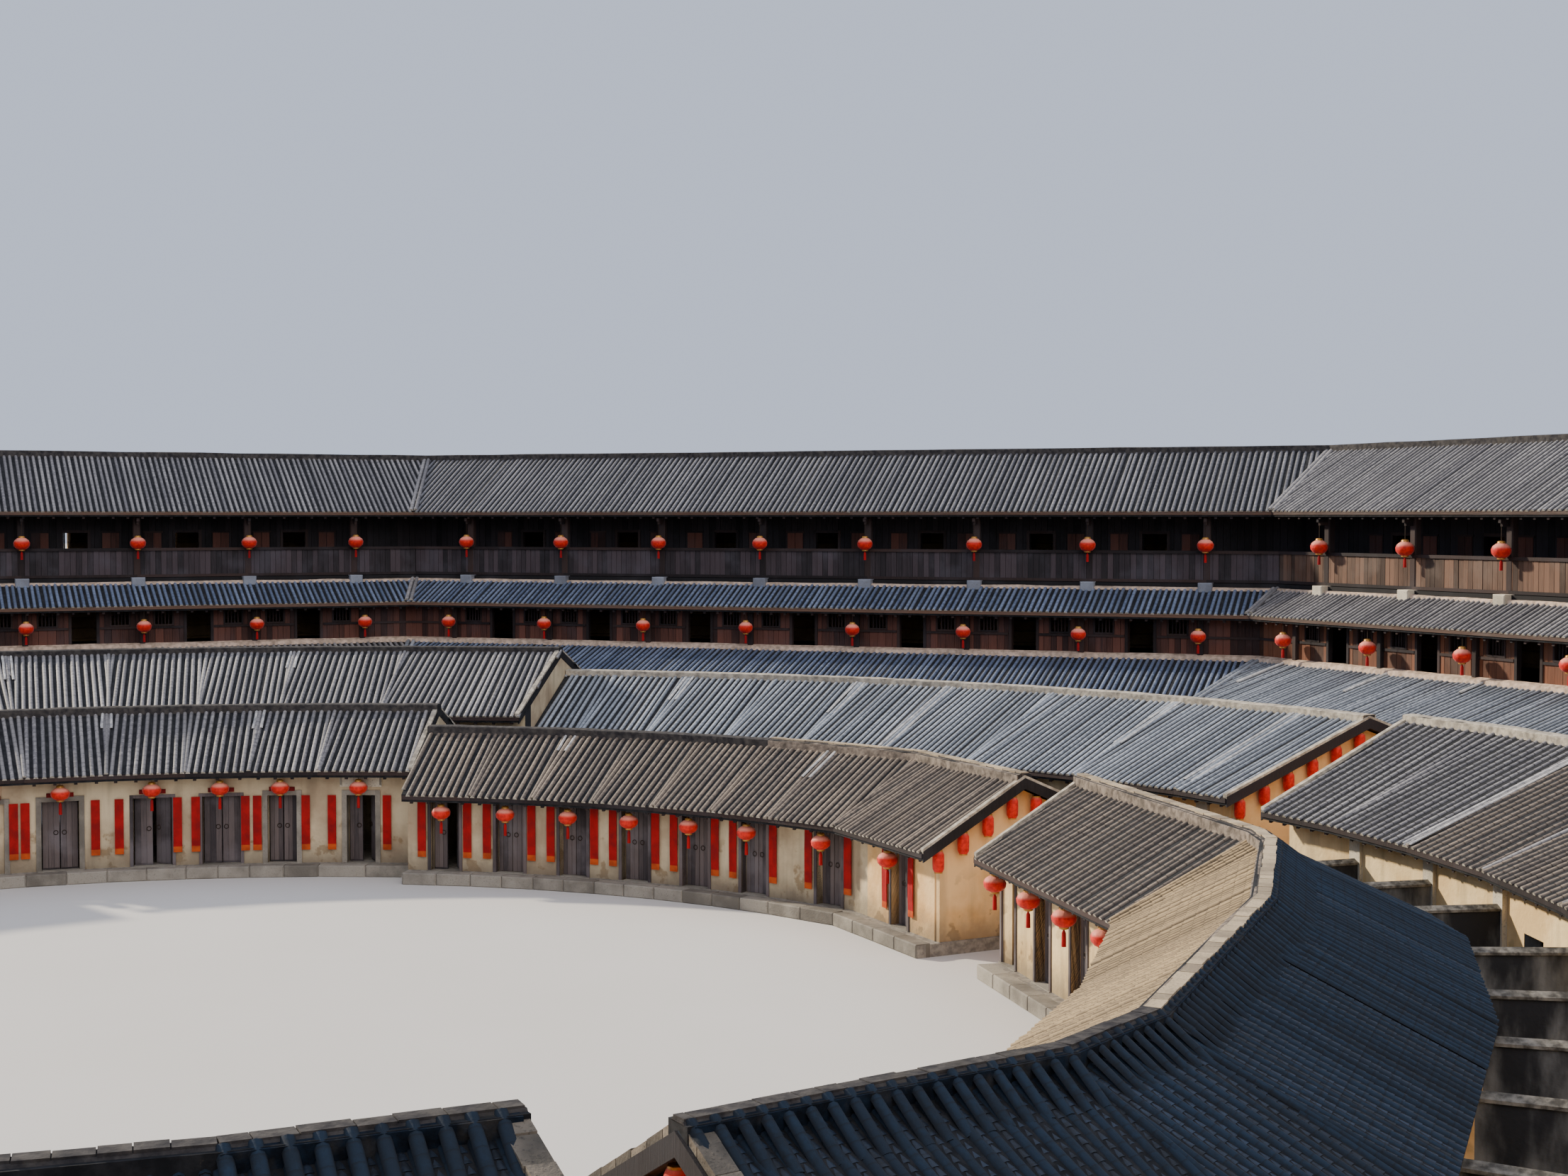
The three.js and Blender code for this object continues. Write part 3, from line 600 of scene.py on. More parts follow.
def tile_look(name, dusty, plain, shaded, roughness=0.6):
    """Weathered clay rolls: dusty on top, with painted shade on their sides, and a joint at each tile."""
    look = Look(name, roughness, 0.5)
    crown = look.upward.step(0.3, 0.9)
    grit = look.noise(9, 4)
    dust = crown * (grit + look.tone * 0.4).step(0.45, 0.85) * (look.noise(0.5, 4).step(0.3, 0.7) * 0.6 + 0.4)
    # Faces turned away from straight up take the shaded colour: painted shade on the rolls' sides.
    base = dust.over(crown.over(shaded, plain), dusty)
    saw = look.run.saw(ROLL["tile"])
    base = (saw.step(0.84, 0.98) * 0.5).over(base, shaded)
    base = (look.tone.step(0.7, 1.0) * 0.4).over(base, shaded)
    return look.finish(base, saw * -0.6 + grit * 0.5, 0.02)


def pan_look():
    """The beds between the rolls, nearly black as painted shade between the rolls with some dirt, over boards
    that show from below.
    """
    look = Look("tile_pans", 0.9)
    dirt_and_shade = look.noise(5, 4)
    # Two near-black colours mottled by noise: painted shade between the rolls, with dirt in it.
    base = dirt_and_shade.step(0.35, 0.75).over("131519", "2b2c2f")
    base = (look.noise(14, 3).step(0.68, 0.75) * 0.35).over(base, "4d473c")
    boards = look.noise(3, 4, (1, 1, 6)).over("2b1d16", "4f3a2b")
    return look.finish(look.upward.step(-0.6, -0.3).over(boards, base), dirt_and_shade, 0.02)


def mortar_look(name, light, dark, stained=0.5):
    look = Look(name, 0.95, 0.2)
    grain = look.noise(6, 5)
    spots = look.noise(2.2, 4).step(0.5, 0.7) * stained
    return look.finish(spots.over(grain.step(0.3, 0.7).over(dark, light), "4a463f"), grain, 0.03)


def board_look(name, light, dark, grey, greying=0.35, grain_way=(14, 14, 0.7)):
    """Old boards: a colour for each board, long grain, and grey patches where the surface has weathered."""
    look = Look(name, 0.75, 0.35)
    grain = look.noise(2.2, 6, grain_way, 0.65)
    fine = look.noise(9, 3, grain_way)
    base = (grain * 0.6 + look.tone * 0.5).step(0.25, 0.85).over(dark, light)
    base = (look.noise(0.8, 4).step(0.45, 0.7) * greying).over(base, grey)
    base = (fine.step(0.62, 0.8) * 0.45).over(base, dark)
    return look.finish(base, grain * 0.7 + fine * 0.4, 0.012)


def stone_look(name, light, dark, speck="6b665c"):
    look = Look(name, 0.8, 0.35)
    cloud = look.noise(1.6, 4)
    grain = look.noise(26, 3)
    base = (cloud + look.tone * 0.4).step(0.4, 0.95).over(dark, light)
    return look.finish((grain.step(0.55, 0.7) * 0.5).over(base, speck), cloud + grain)


def earth_look():
    """Rammed earth, with the line of each lift, rain streaks and worn patches."""
    look = Look("rammed_earth", 0.95, 0.15)
    saw = (look.height + look.noise(0.35, 2) * 0.12).saw(0.42)
    seam = saw.step(0.08, 0.0) + saw.step(0.92, 1.0)
    cloud = look.noise(0.55, 5)
    grain = look.noise(11, 5)
    streak = look.noise(0.9, 4, (1.6, 1.6, 0.12)).step(0.52, 0.72)
    base = cloud.step(0.3, 0.7).over("b18e5f", "cfb182")
    base = (grain.step(0.5, 0.75) * 0.35).over(base, "8f7350")
    base = (streak * (look.height.step(5.0, 10.0) * 0.35 + 0.2)).over(base, "6d5a43")
    base = (seam * 0.4).over(base, "85694a")
    base = look.height.step(1.6, 0.4).over(base, "8b7a62")
    return look.finish(base, grain * 0.5 + cloud * 0.8 - seam * 0.6, 0.05)


def house_look():
    """Plaster of the courtyard houses: grey and stained from north to north-west, ochre on the other rows and
    on gables, pale on the east row, streaked black on the yard walls, and stone on the plinth."""
    look = Look("house_plaster", 0.92, 0.2)
    flat = look.node("CombineXYZ", 0, {0: look.east, 1: look.north})
    distance = look.vector("LENGTH", flat, output="Value")
    radial = look.vector("NORMALIZE", flat)
    turned = look.math("ABSOLUTE", look.vector("DOT_PRODUCT", look.normal, radial, output="Value"))
    turn = look.math("ARCTAN2", look.north, look.east) * (180 / math.pi)
    cloud = look.noise(0.7, 5)
    grain = look.noise(8, 4)
    wear = look.noise(1.7, 5)
    ochre, grey, pale = (
        cloud.step(0.35, 0.65).over(*colours)
        for colours in (("dcad70", "f4cf98"), ("b09c80", "d8c8a6"), ("d9b985", "efd5a4"))
    )
    east_row = (turn > -39) * (turn < 48)
    grey_rows = (turn > 62) * (turn < 139)
    base = turned.step(0.6, 0.4).over(east_row.over(ochre, pale), ochre)
    base = grey_rows.over(base, grey)
    base = (wear.step(0.56, 0.62) * look.height.step(2.2, 0.9) * 0.7).over(base, "8c7350")
    base = ((look.height + wear).step(1.6, 0.8) * 0.65).over(base, "6f675a")
    base = (look.noise(1.3, 4, (1.5, 1.5, 0.15)).step(0.5, 0.7) * 0.28).over(base, "5f5648")
    soot = look.noise(1.1, 5, (1, 1, 0.35)) + look.height * 0.08
    behind = distance > INNER_RING["back"] + 0.05
    yard = behind * (distance < MIDDLE_RING["front"] - 0.04) * (turned < 0.5)
    base = yard.over(base, soot.step(0.44, 0.74).over("8b8c8b", "2c2d30"))
    paved = (look.height < PLINTH["height"] + 0.01) * (distance < INNER_RING["back"] + 1.2)
    base = paved.over(base, grain.step(0.3, 0.7).over("75706a", "9b958a"))
    return look.finish(base, cloud * 1.2 + grain * 0.4, 0.04)


def paper_look(name, light, dark):
    look = Look(name, 0.8, 0.25)
    return look.finish(look.noise(3, 4).step(0.3, 0.7).over(dark, light), look.noise(7, 3))


def lantern_look():
    """Red silk on ribs, with a painted highlight where it faces up."""
    look = Look("lantern_silk", 0.6, 0.3)
    look.feed(look.shader, {"Sheen Weight": 0.1})
    fold = look.noise(12, 3)
    base = fold.step(0.3, 0.7).over("b8140a", "e4260c")
    # Upward faces are mixed toward pale pink: a painted highlight on the silk's upper side.
    return look.finish((look.upward.step(0.2, 0.75) * 0.75).over(base, "fba78f"), fold)


def metal_look(name, roughness, specular, metallic, dark, light, clouds, pits):
    look = Look(name, roughness, specular)
    look.feed(look.shader, {"Metallic": metallic})
    return look.finish(look.noise(*clouds).over(dark, light), look.noise(*pits), 0.004)


SLATE_TILES = tile_look("slate_rolls", "8c8c90", "5a5a60", "212328")
PALE_TILES = tile_look("pale_rolls", "b9c0c8", "80878f", "292d34", 0.5)
ASHEN_TILES = tile_look("ashen_rolls", "a8a5a3", "706e70", "292a2f", 0.7)
# Grey rolls with a blue tint that is painted sky-lit shade, for the skirts on the shaded sides.
BLUE_SHADE_TILES = tile_look("blue_shade_rolls", "8492ac", "56637c", "1b212d")
BROWN_TILES = tile_look("brown_rolls", "9a8a78", "625850", "27231f", 0.7)
DUSTY_TILES = tile_look("dusty_rolls", "b89f76", "877457", "40372a", 0.8)
# Dark tiles tinted navy: the darkness is the tiles' own, the navy is painted sky-lit shade on the inner
# ring's outer slopes.
NAVY_SHADE_TILES = tile_look("navy_shade_rolls", "132c42", "0b1d2c", "050b12", 0.85)
# Pan tiles in the same navy: dark clay with painted sky-lit shade, on the near outer slopes.
NAVY_SHADE_PANS = tile_look("near_shade_pans", "2b3b50", "0c131c", "05080c")
PANS = pan_look()
EAVE_LIME = mortar_look("eave_lime", "c3bdb0", "8b8578", 0.35)
RIDGE_MORTAR = mortar_look("ridge_mortar", "4d4a48", "2b2a2d", 0.4)
RIDGE_LIME = mortar_look("ridge_lime", "c9c0ae", "8d867b", 0.35)
RIDGE_BED = mortar_look("ridge_bed", "94887c", "5a524b")
RIDGE_STONE = stone_look("ridge_stones", "c0ae90", "8a7c68", "6b6152")
SEAM_LIME = mortar_look("seam_lime", "d6d4d0", "9fa0a2", 0.3)
SKIRT_LIME = mortar_look("skirt_lime", "dcc3ae", "a4917f", 0.3)
COPING = mortar_look("yard_coping", "8a857b", "45423d")
# Tile ends on the outer side of the ridge in dark navy: dark tiles with painted sky-lit shade on that side.
HOOD_TILES = mortar_look("tile_ends", "142232", "080e16", 0.4)
EARTH = earth_look()
PLASTER = house_look()
GROUND_WALL = mortar_look("ground_wall_plaster", "c2ab84", "98825f", 0.35)
DARK_BOARDS = board_look("dark_boards", "2b2629", "0e0d10", "343338", 0.4)
RED_BOARDS = board_look("red_brown_boards", "6a4236", "2a1b19", "504446")
# Rail boards in two copies: darker and cooler as painted shade on the shaded sides, warmer and lighter as
# painted sunlight on the sunny sides.
SHADED_RAILS = board_look("rail_boards", "4a4044", "201d20", "55525a", 0.45)
SUNLIT_RAILS = board_look("sunlit_rail_boards", "7a5c4a", "35271f", "74665c", 0.4)
# A lighter, warmer copy of the red-brown boards: painted sunlight for the second storey on the sunny sides.
SUNLIT_BOARDS = board_look("sunlit_boards", "86543a", "3a2318", "6e5a4e")
FRAME_WOOD = board_look("frame_wood", "3b2c28", "191315", "423d42")
DOOR_WOOD = board_look("door_boards", "6d6260", "383336", "7c767a", 0.6)
FASCIA_WOOD = board_look("fascia_wood", "6d5242", "3c2c26", "645a55", 0.4, (0.7, 0.7, 10))
STONE = stone_look("grey_stone", "9c968a", "6a655c")
PALE_STONE = stone_look("pale_stone", "d8cfba", "a89f8d")
SHADY_STONE = stone_look("shady_stone", "8d939e", "6c7079")
VERGE_STONE = stone_look("verge_stones", "8b8172", "4a463f", "2f2d2b")
COBBLE = stone_look("cobbles", "8d8270", "544b3f")
RED_PAPER = paper_look("red_paper", "ab1016", "840b10")
FOOT_PAPER = paper_look("orange_paper_foot", "c9541f", "9d3d16")
DARK_PAPER = paper_look("dark_red_paper", "7d1414", "560d0e")
SILK = lantern_look()
GILT = metal_look("gilt_trim", 0.4, 0.6, 0.4, "9c6a28", "d29a4c", (20, 3), (30, 2))
IRON = metal_look("dark_iron", 0.6, 0.5, 0.6, "231f1c", "4b3a2c", (18, 4), (40, 3))
LANTERN_LOOKS = [SILK, GILT, RED_PAPER, IRON]

# The finish of each CAD node, by the first of these parts that its name has
CAD_FINISHES = (
    ("outer_wall", EARTH), ("second_storey", RED_BOARDS), ("third_storey", DARK_BOARDS), ("_leaf", DOOR_WOOD),
    ("ground_storey_front", GROUND_WALL), ("roof", PANS), ("", PLASTER),
)


def dress_cad():
    for name, node in frame["nodes"].items():
        node.data.materials.clear()
        node.data.materials.append(next(finish for part, finish in CAD_FINISHES if part in name))


# Roofs


def around(point, *steps):
    """An outline of (a, z) points, given as steps from one point."""
    return [(point[0] + a, point[1] + z) for a, z in steps]


RIDGE_HALF = 0.22


def ridge_outline(ridge, height=0.115, half=False):
    """The mortar on a ridge's cap, over all of it or on the court side alone."""
    w, foot, shoulder = RIDGE_HALF, -0.14, 0.8 * height
    court_side = ((-w, foot), (-w, shoulder), (-0.7 * w, height))
    if half:
        return around(ridge, *court_side, (-0.02, height), (-0.02, foot))
    return around(ridge, *court_side, (0.7 * w, height), (w, shoulder), (w, foot))


def eave_board(pile, facet, edge, way):
    """A thin board under the tile ends, on the court side for way -1."""
    step = 0.03 * way
    sweep(pile, facet, around(edge, (step, -0.02), (0, -0.02), (0, -0.14), (step, -0.14)))


# Mortar lines on the north-east part of the lower skirt, each as its x and the distance at which it starts
SKIRT_LINES = [(-14.5, 36.7), (-9.6, 36.9), (-5.6, 37.7), (1.9, 37.0), (8.3, 37.4)]
WEST_SLOTS = {"upper_skirt_tiles": 2, "lower_skirt_tiles": 3}
MORTAR_LINE = {"height": 0.7, "stations": 8}


def octagon_roof():
    for name, eave, top, rolls, north_rolls in (
        ("main_roof_tiles_inner", MAIN_ROOF["inner"], MAIN_ROOF["ridge"], ASHEN_TILES, SLATE_TILES),
        ("main_roof_tiles_outer", MAIN_ROOF["outer"], MAIN_ROOF["ridge"], SLATE_TILES, SLATE_TILES),
        ("upper_skirt_tiles", UPPER_SKIRT["inner"], UPPER_SKIRT["outer"], ASHEN_TILES, BLUE_SHADE_TILES),
        ("lower_skirt_tiles", LOWER_SKIRT["inner"], LOWER_SKIRT["outer"], PALE_TILES, BLUE_SHADE_TILES),
    ):
        pile = Pile()
        for (side, facet), seam in zip(SIDES, OCTAGON_SEAMS):
            # The skirts on the north side, and the upper skirt on the west sides, take the blue painted-shade
            # rolls in slot 2.
            slot = WEST_SLOTS.get(name, 0) if side in WEST_SIDES else 2 * (side == "north")
            tile_slope(pile, facet, eave, top, slots=(slot, 1))
            for x in (-0.09, 0.09):
                roll(pile, seam, x, *seam.line(eave, top), lift=0.05, radius=0.085)
        pile.make(name, [rolls, EAVE_LIME, north_rolls, ASHEN_TILES], slot="roof_tiles", smooth=50)
    caps, eaves, lines = Pile(), Pile(), Pile()
    skirt = (LOWER_SKIRT["inner"], LOWER_SKIRT["outer"])
    for x, low in SKIRT_LINES:
        ends = [(a, line_at(*skirt, a)) for a in (low, LOWER_SKIRT["outer"][0] - 0.25)]
        facet = OCTAGON[SIDE_NAMES.index("north_east")]
        roll(lines, facet, x, *ends, radius=0.07, wobble=0.03, slots=(1, 1), lift=0.06, **MORTAR_LINE)
    for facet in OCTAGON:
        sweep(caps, facet, ridge_outline(MAIN_ROOF["ridge"]), steps=24, wobble=0.006)
        eave_board(eaves, facet, MAIN_ROOF["inner"], -1)
        eave_board(eaves, facet, MAIN_ROOF["outer"], 1)
        eave_board(eaves, facet, UPPER_SKIRT["inner"], -1)
        eave_board(eaves, facet, LOWER_SKIRT["inner"], -1)
        for skirt, w, rise in ((UPPER_SKIRT, 0.14, 0.05), (LOWER_SKIRT, 0.3, 0.12)):
            steps = (-w, -0.08), (-0.85 * w, 0.5 * rise), (-0.3 * w, rise), (0, rise), (0, -0.05)
            sweep(lines, facet, around(skirt["outer"], *steps), steps=30, wobble=0.008)
    caps.make("main_ridge_cap", [RIDGE_MORTAR], slot="roof_tiles")
    eaves.make("ring_house_eave_boards", [FASCIA_WOOD], slot="timber")
    lines.make("skirt_top_mortar", [SKIRT_LIME, SEAM_LIME], slot="plaster")


def edge_band(pile, house, bearing, side, xs, heights, points, slot=0):
    """A band down a roof's edge, through the given (distance, z) points of the roof."""
    x0, x1 = (-side * x for x in xs)
    low, high = heights
    rings = []
    for distance, z in points:
        p, q = (house.along(bearing, distance, x) for x in (x0, x1))
        zs = [z + low, z + low, z + high, z + high]
        rings.append(Facet(bearing).world([x0, x1, x1, x0], [p, q, q, p], zs))
    tube(pile, rings, slot)


def verge_stones(pile, house, bearing, side, edge):
    """Flat stones stepped down both slopes beside a roof's edge."""
    for end in (house.inner, house.outer):
        for p, q in pairs(spread(house.ridge[0], end[0], round(abs(end[0] - house.ridge[0]) / 0.36))):
            points = [(p, house.top(p)), (q - (q - p) * 0.04, house.top(q))]
            top = 0.13 + rng.uniform(-0.015, 0.015)
            xs = (edge + 0.01, edge + 0.28 + rng.uniform(-0.02, 0.02))
            edge_band(pile, house, bearing, side, xs, (0.0, top), points, slot=2)


# Each row's roof. Jointed is 1 where the court slope's rolls show their tiles, and 2 where both slopes do.
# Brown, wide and pans are ranges of bearings with brown rolls, wide rolls, and pan tiles. Slabs, dark slabs
# and pale ridge hold below a bearing. Seams are the shares of the court slope that lime covers at each
# corner, from the ridge down.
ROWS = {
    ("inner", "north"): {"tiles": BROWN_TILES, "slabs": 75, "seams": [0, 0.45, 0, 0, 0, 0.3]},
    ("inner", "north_west"): {"tiles": ASHEN_TILES, "seams": [0, 0.35, 0, 0.3, 0]},
    ("inner", "west"): {"tiles": ASHEN_TILES},
    ("inner", "south"): {
        "tiles": DUSTY_TILES, "jointed": 2, "pans": (312, 321), "slabs": 408, "dark_slabs": 408,
    },
    ("inner", "east"): {
        "tiles": DUSTY_TILES, "jointed": 2, "pans": (321, 408), "wide": (390, 408), "brown": (390, 408),
        "slabs": 408, "dark_slabs": 350,
    },
    ("middle", "north"): {
        "tiles": PALE_TILES, "pale_ridge": 104, "seams": [0.9, 0.6, 0, 0.9, 0.5, 0, 0.4, 0, 0.3],
    },
    ("middle", "north_west"): {"tiles": ASHEN_TILES, "seams": [0, 0.3, 0, 0, 0.4]},
    ("middle", "west"): {"tiles": ASHEN_TILES},
    ("middle", "south"): {"tiles": SLATE_TILES},
    ("middle", "east"): {
        "tiles": ASHEN_TILES, "jointed": 1, "wide": (321, 408), "brown": (321, 394), "pale_ridge": 408,
        "seams": [0, 0, 0, 0.5, 0, 0.6, 0, 0, 1, 0],
    },
}
BROWN_SLOT = 3


def ring_roofs():
    for key, label, houses in (("inner", "front_house", INNER), ("middle", "middle_house", MIDDLE)):
        caps, eaves, seams, stones, mortar, wood = (Pile() for _ in range(6))
        for house in houses:
            tiles = house_roof(house, ROWS[key, house.name], caps, eaves, seams, stones)
            # On the inner ring, slot 2, the outer slopes, takes the navy painted-shade rolls.
            looks = [ROWS[key, house.name]["tiles"], EAVE_LIME, NAVY_SHADE_TILES if key == "inner" else SLATE_TILES]
            looks += [BROWN_TILES, NAVY_SHADE_PANS, HOOD_TILES]
            tiles.make(f"{label}_tiles_{house.name}", looks, slot="roof_tiles", smooth=50)
        for house in houses:
            points = (house.inner, house.ridge, house.outer)
            for bearing, side in ((house.start, 1), (house.end, -1)):
                alley = bearing in ALLEYS
                if not alley and house.name != "north_west":
                    continue
                edge = ALLEY_HALF - VERGE if alley else 0.05
                if key == "inner" and bearing == 321:
                    verge_stones(stones, house, bearing, side, edge)
                else:
                    edge_band(mortar, house, bearing, side, (edge - 0.03, edge + 0.1), (-0.03, 0.085), points)
                edge_band(wood, house, bearing, side, (edge - 0.04, edge), (-0.24, 0.02), points)
        caps.make(f"{label}_ridge_caps", [RIDGE_MORTAR, RIDGE_LIME, RIDGE_BED], slot="roof_tiles")
        eaves.make(f"{label}_eave_boards", [FRAME_WOOD], slot="timber")
        seams.make(f"{label}_seam_mortar", [SEAM_LIME], slot="plaster")
        stones.make(f"{label}_ridge_stones", [RIDGE_STONE, RIDGE_MORTAR, VERGE_STONE], slot="plaster")
        mortar.make(f"{label}_verge_mortar", [RIDGE_LIME], slot="plaster")
        wood.make(f"{label}_verge_boards", [DARK_BOARDS], slot="timber")


def house_roof(house, row, caps, eaves, seams, stones):
    """The tiles of one row, with its ridge, its eave boards and the lime in its corners."""

    def holds(part, bearing):
        low, high = row.get(part, (0, 0))
        return low < bearing < high

    tiles = Pile()
    jointed = row.get("jointed", 0)
    for facet in house.facets(ALLEY_HALF - VERGE + 0.08):
        brown, wide, pans = (holds(part, facet.bearing) for part in ("brown", "wide", "pans"))
        tile_slope(tiles, facet, house.inner, house.ridge, jointed > 0, (BROWN_SLOT * brown, 1), wide)
        tile_slope(tiles, facet, house.outer, house.ridge, jointed > 1, (2, 1), pans, pans)
        if pans:
            ridge_hoods(tiles, facet, house)
    for facet in house.facets():
        uneven = {"steps": 8, "wobble": 0.006}
        if facet.bearing < row.get("slabs", 0):
            dark = facet.bearing < row.get("dark_slabs", 0)
            ridge_slabs(stones, facet, house.ridge, slot=int(dark))
            if not dark:
                sweep(caps, facet, ridge_outline(house.ridge, 0.105, half=True), slot=2, **uneven)
        else:
            pale = facet.bearing < row.get("pale_ridge", 0)
            sweep(caps, facet, ridge_outline(house.ridge), slot=int(pale), **uneven)
        eave_board(eaves, facet, house.inner, -1)
        eave_board(eaves, facet, house.outer, 1)
    for seam in house.seams:
        for eave, slot in ((house.inner, BROWN_SLOT * holds("brown", seam.bearing)), (house.outer, 2)):
            roll(tiles, seam, 0, *seam.line(eave, house.ridge), slots=(slot, 1), lift=0.01)
    for seam, share in zip(house.seams, row.get("seams", ())):
        if share:
            inner, ridge = seam.line(house.inner, house.ridge)
            low = (ridge[0] + (inner[0] - ridge[0]) * share, ridge[1] + (inner[1] - ridge[1]) * share)
            for x in (-0.12, 0.12):
                roll(seams, seam, x, low, ridge, 0.04, wobble=0.015, slots=(0, 0), lift=0.055, **MORTAR_LINE)
    return tiles


def ridge_hoods(pile, facet, house):
    """The last tiles of each roll on the outer slope, laid up over the side of the ridge's cap."""
    a, z = house.ridge
    low, high = facet.span(a + RIDGE_HALF)
    ends = ((a + 0.78, house.top(a + 0.78)), (a + 0.1, z + 0.13))
    shape = {**WIDE_ROLL, "stations": 3, "wobble": 0.004, "slots": (2, 2)}
    for i in range(math.ceil(low / WIDE_PITCH), math.floor(high / WIDE_PITCH) + 1):
        roll(pile, facet, i * WIDE_PITCH, *ends, **shape)
    sweep(pile, facet, around(house.ridge, (0.1, -0.1), (0.1, 0.11), (0.224, 0.09), (0.224, -0.14)), slot=5)


def ridge_slabs(pile, facet, ridge, slot):
    """Thin flat stones laid in a row on a ridge's cap, a little uneven, in a dark mortar bed."""
    sweep(pile, facet, around(ridge, (-0.14, 0.09), (-0.11, 0.13), (0.11, 0.13), (0.14, 0.09)), slot=1)
    place = facet.at(0, ridge[0], ridge[1] + 0.09)
    x, high = facet.span(ridge[0])
    while x < high - 0.05:
        end = min(x + rng.uniform(0.25, 0.5), high)
        w, turn, top = 0.1 + rng.uniform(0, 0.015), rng.uniform(-0.015, 0.015), 0.06 + rng.uniform(0, 0.01)
        x0, x1 = x + 0.006, end - 0.006
        plate(pile, place, [(x0, 0), (x1, 0), (x1, top), (x0, top)], (turn - w, turn + w), slot)
        x = end


def rafter_row(pile, facet, eave, top, face, gap, inset, depth):
    """Rafter ends from an eave to the wall face below it."""
    low, high = facet.span(min(eave[0], face))
    if high - low < 1:
        return
    start = eave[0] + math.copysign(0.06, face - eave[0])
    ends = [(a, under(eave, top, a) + 0.02) for a in (start, face)]
    for x in spread(low + inset, high - inset, int((high - low) / gap)):
        beam(pile, facet.at(x, 0), *ends, 0.09, depth)


def rafters():
    pile = Pile()
    for facet in OCTAGON:
        for roof, top, face, gap in (
            (MAIN_ROOF, "ridge", GALLERY_WALL - 0.01, 0.52),
            (UPPER_SKIRT, "outer", SECOND_FRONT - 0.05, 0.52),
            (LOWER_SKIRT, "outer", GROUND_FRONT - 0.12, 0.8),
        ):
            rafter_row(pile, facet, roof["inner"], roof[top], face, gap, 0.3, 0.13)
    pile.make("ring_house_rafters", [FRAME_WOOD], slot="timber")
    pile = Pile()
    for house in INNER + MIDDLE:
        for facet in house.facets():
            rafter_row(pile, facet, house.inner, house.ridge, house.front - 0.01, 0.6, 0.25, 0.11)
            rafter_row(pile, facet, house.outer, house.ridge, house.back + 0.01, 0.6, 0.25, 0.11)
    pile.make("courtyard_house_rafters", [FRAME_WOOD], slot="timber")


# Timber storeys


BOARD_GAP = 0.006


def board_wall(pile, facet, front, low, high, openings=(), width=0.24, proud=0.035, ends=None):
    """Upright boards on a wall face, leaving its openings free. An opening is its x range and its z range."""
    x_low, x_high = ends or facet.span(front)
    edges = sorted({x_low, x_high, *[x for xs, _ in openings for x in xs if x_low < x < x_high]})
    for x0, x1 in pairs(edges):
        holes = sorted(zs for xs, zs in openings if xs[0] < (x0 + x1) / 2 < xs[1])
        bounds = [low, *[z for zs in holes for z in zs], high]
        levels = list(zip(bounds[::2], bounds[1::2]))
        for left, right in pairs(spread(x0, x1, max(1, round((x1 - x0) / width)))):
            tone = rng.random()
            for z0, z1 in levels:
                if z1 - z0 > 0.05:
                    spans = (front - proud - rng.uniform(-0.008, 0.008), front + 0.02)
                    box(pile, facet, (left + BOARD_GAP, right - BOARD_GAP), spans, (z0, z1), tone=tone)


def surround(pile, place, spans, width, height, bar, sill=True):
    """A frame of four bars round an opening, or of three where it has no sill."""
    w, foot = width / 2, -bar if sill else 0
    box(pile, place, (-w - bar, -w), spans, (foot, height + bar))
    box(pile, place, (w, w + bar), spans, (foot, height + bar))
    if sill:
        box(pile, place, (-w, w), spans, (foot, 0))
    box(pile, place, (-w, w), spans, (height, height + bar))


def door_frame(pile, place, width, height, bar=0.1, proud=0.07, depth=0.1):
    surround(pile, place, (-proud, depth), width, height, bar, sill=False)


def door_holes(floor):
    w = UPPER_DOOR["width"] / 2
    return [((x - w, x + w), (floor - 0.1, floor + UPPER_DOOR["height"])) for x in BAY_CENTRES]


def second_storeys():
    front, floor = SECOND_FRONT, SECOND_FLOOR + 0.1
    top = under(UPPER_SKIRT["inner"], UPPER_SKIRT["outer"], front) - 0.01
    w, height, sill = UPPER_WINDOW["width"] / 2, UPPER_WINDOW["height"], SECOND_FLOOR + UPPER_WINDOW["sill"]
    windows = [x + side * UPPER_WINDOW["offset"] for x in BAY_CENTRES for side in (-1, 1)]
    doors = door_holes(SECOND_FLOOR)
    holes = doors + [((x - w, x + w), (sill, sill + height)) for x in windows]
    for name, facet in SIDES:
        walls, frames = Pile(), Pile()
        board_wall(walls, facet, front, floor + 0.1, top, holes)
        for x in BAY_CENTRES:
            door_frame(frames, facet.at(x, front, floor), UPPER_DOOR["width"], UPPER_DOOR["height"] - 0.1)
        for x in windows:
            place = facet.at(x, front, sill)
            surround(frames, place, (-0.06, 0.08), 2 * w, height, 0.06)
            for bar in spread(-w, w, 5)[1:-1]:
                box(frames, place, (bar - 0.018, bar + 0.018), (0, 0.05), (0, height))
        for x in POST_PLACES:
            post(frames, facet.at(x, front - 0.06), 0.2, (floor, top))
        low, high = facet.span(front)
        for x0, x1 in pairs([low, *POST_PLACES, high]):
            gaps = [x0, *[e for (p, q), _ in doors if x0 < p < x1 for e in (p - 0.1, q + 0.1)], x1]
            for p, q in zip(gaps[::2], gaps[1::2]):
                if q - p > 0.3:
                    zs = (sill - 0.15, sill - 0.07)
                    box(frames, facet, (p + 0.02, q - 0.02), (front - 0.08, front), zs)
        # Sunny sides take the painted-sunlight copy of the boards.
        boards = SUNLIT_BOARDS if name in SUNNY_SIDES else RED_BOARDS
        walls.make(f"second_storey_boards_{name}", [boards], slot="timber")
        frames.make(f"second_storey_frames_{name}", [FRAME_WOOD], slot="timber")


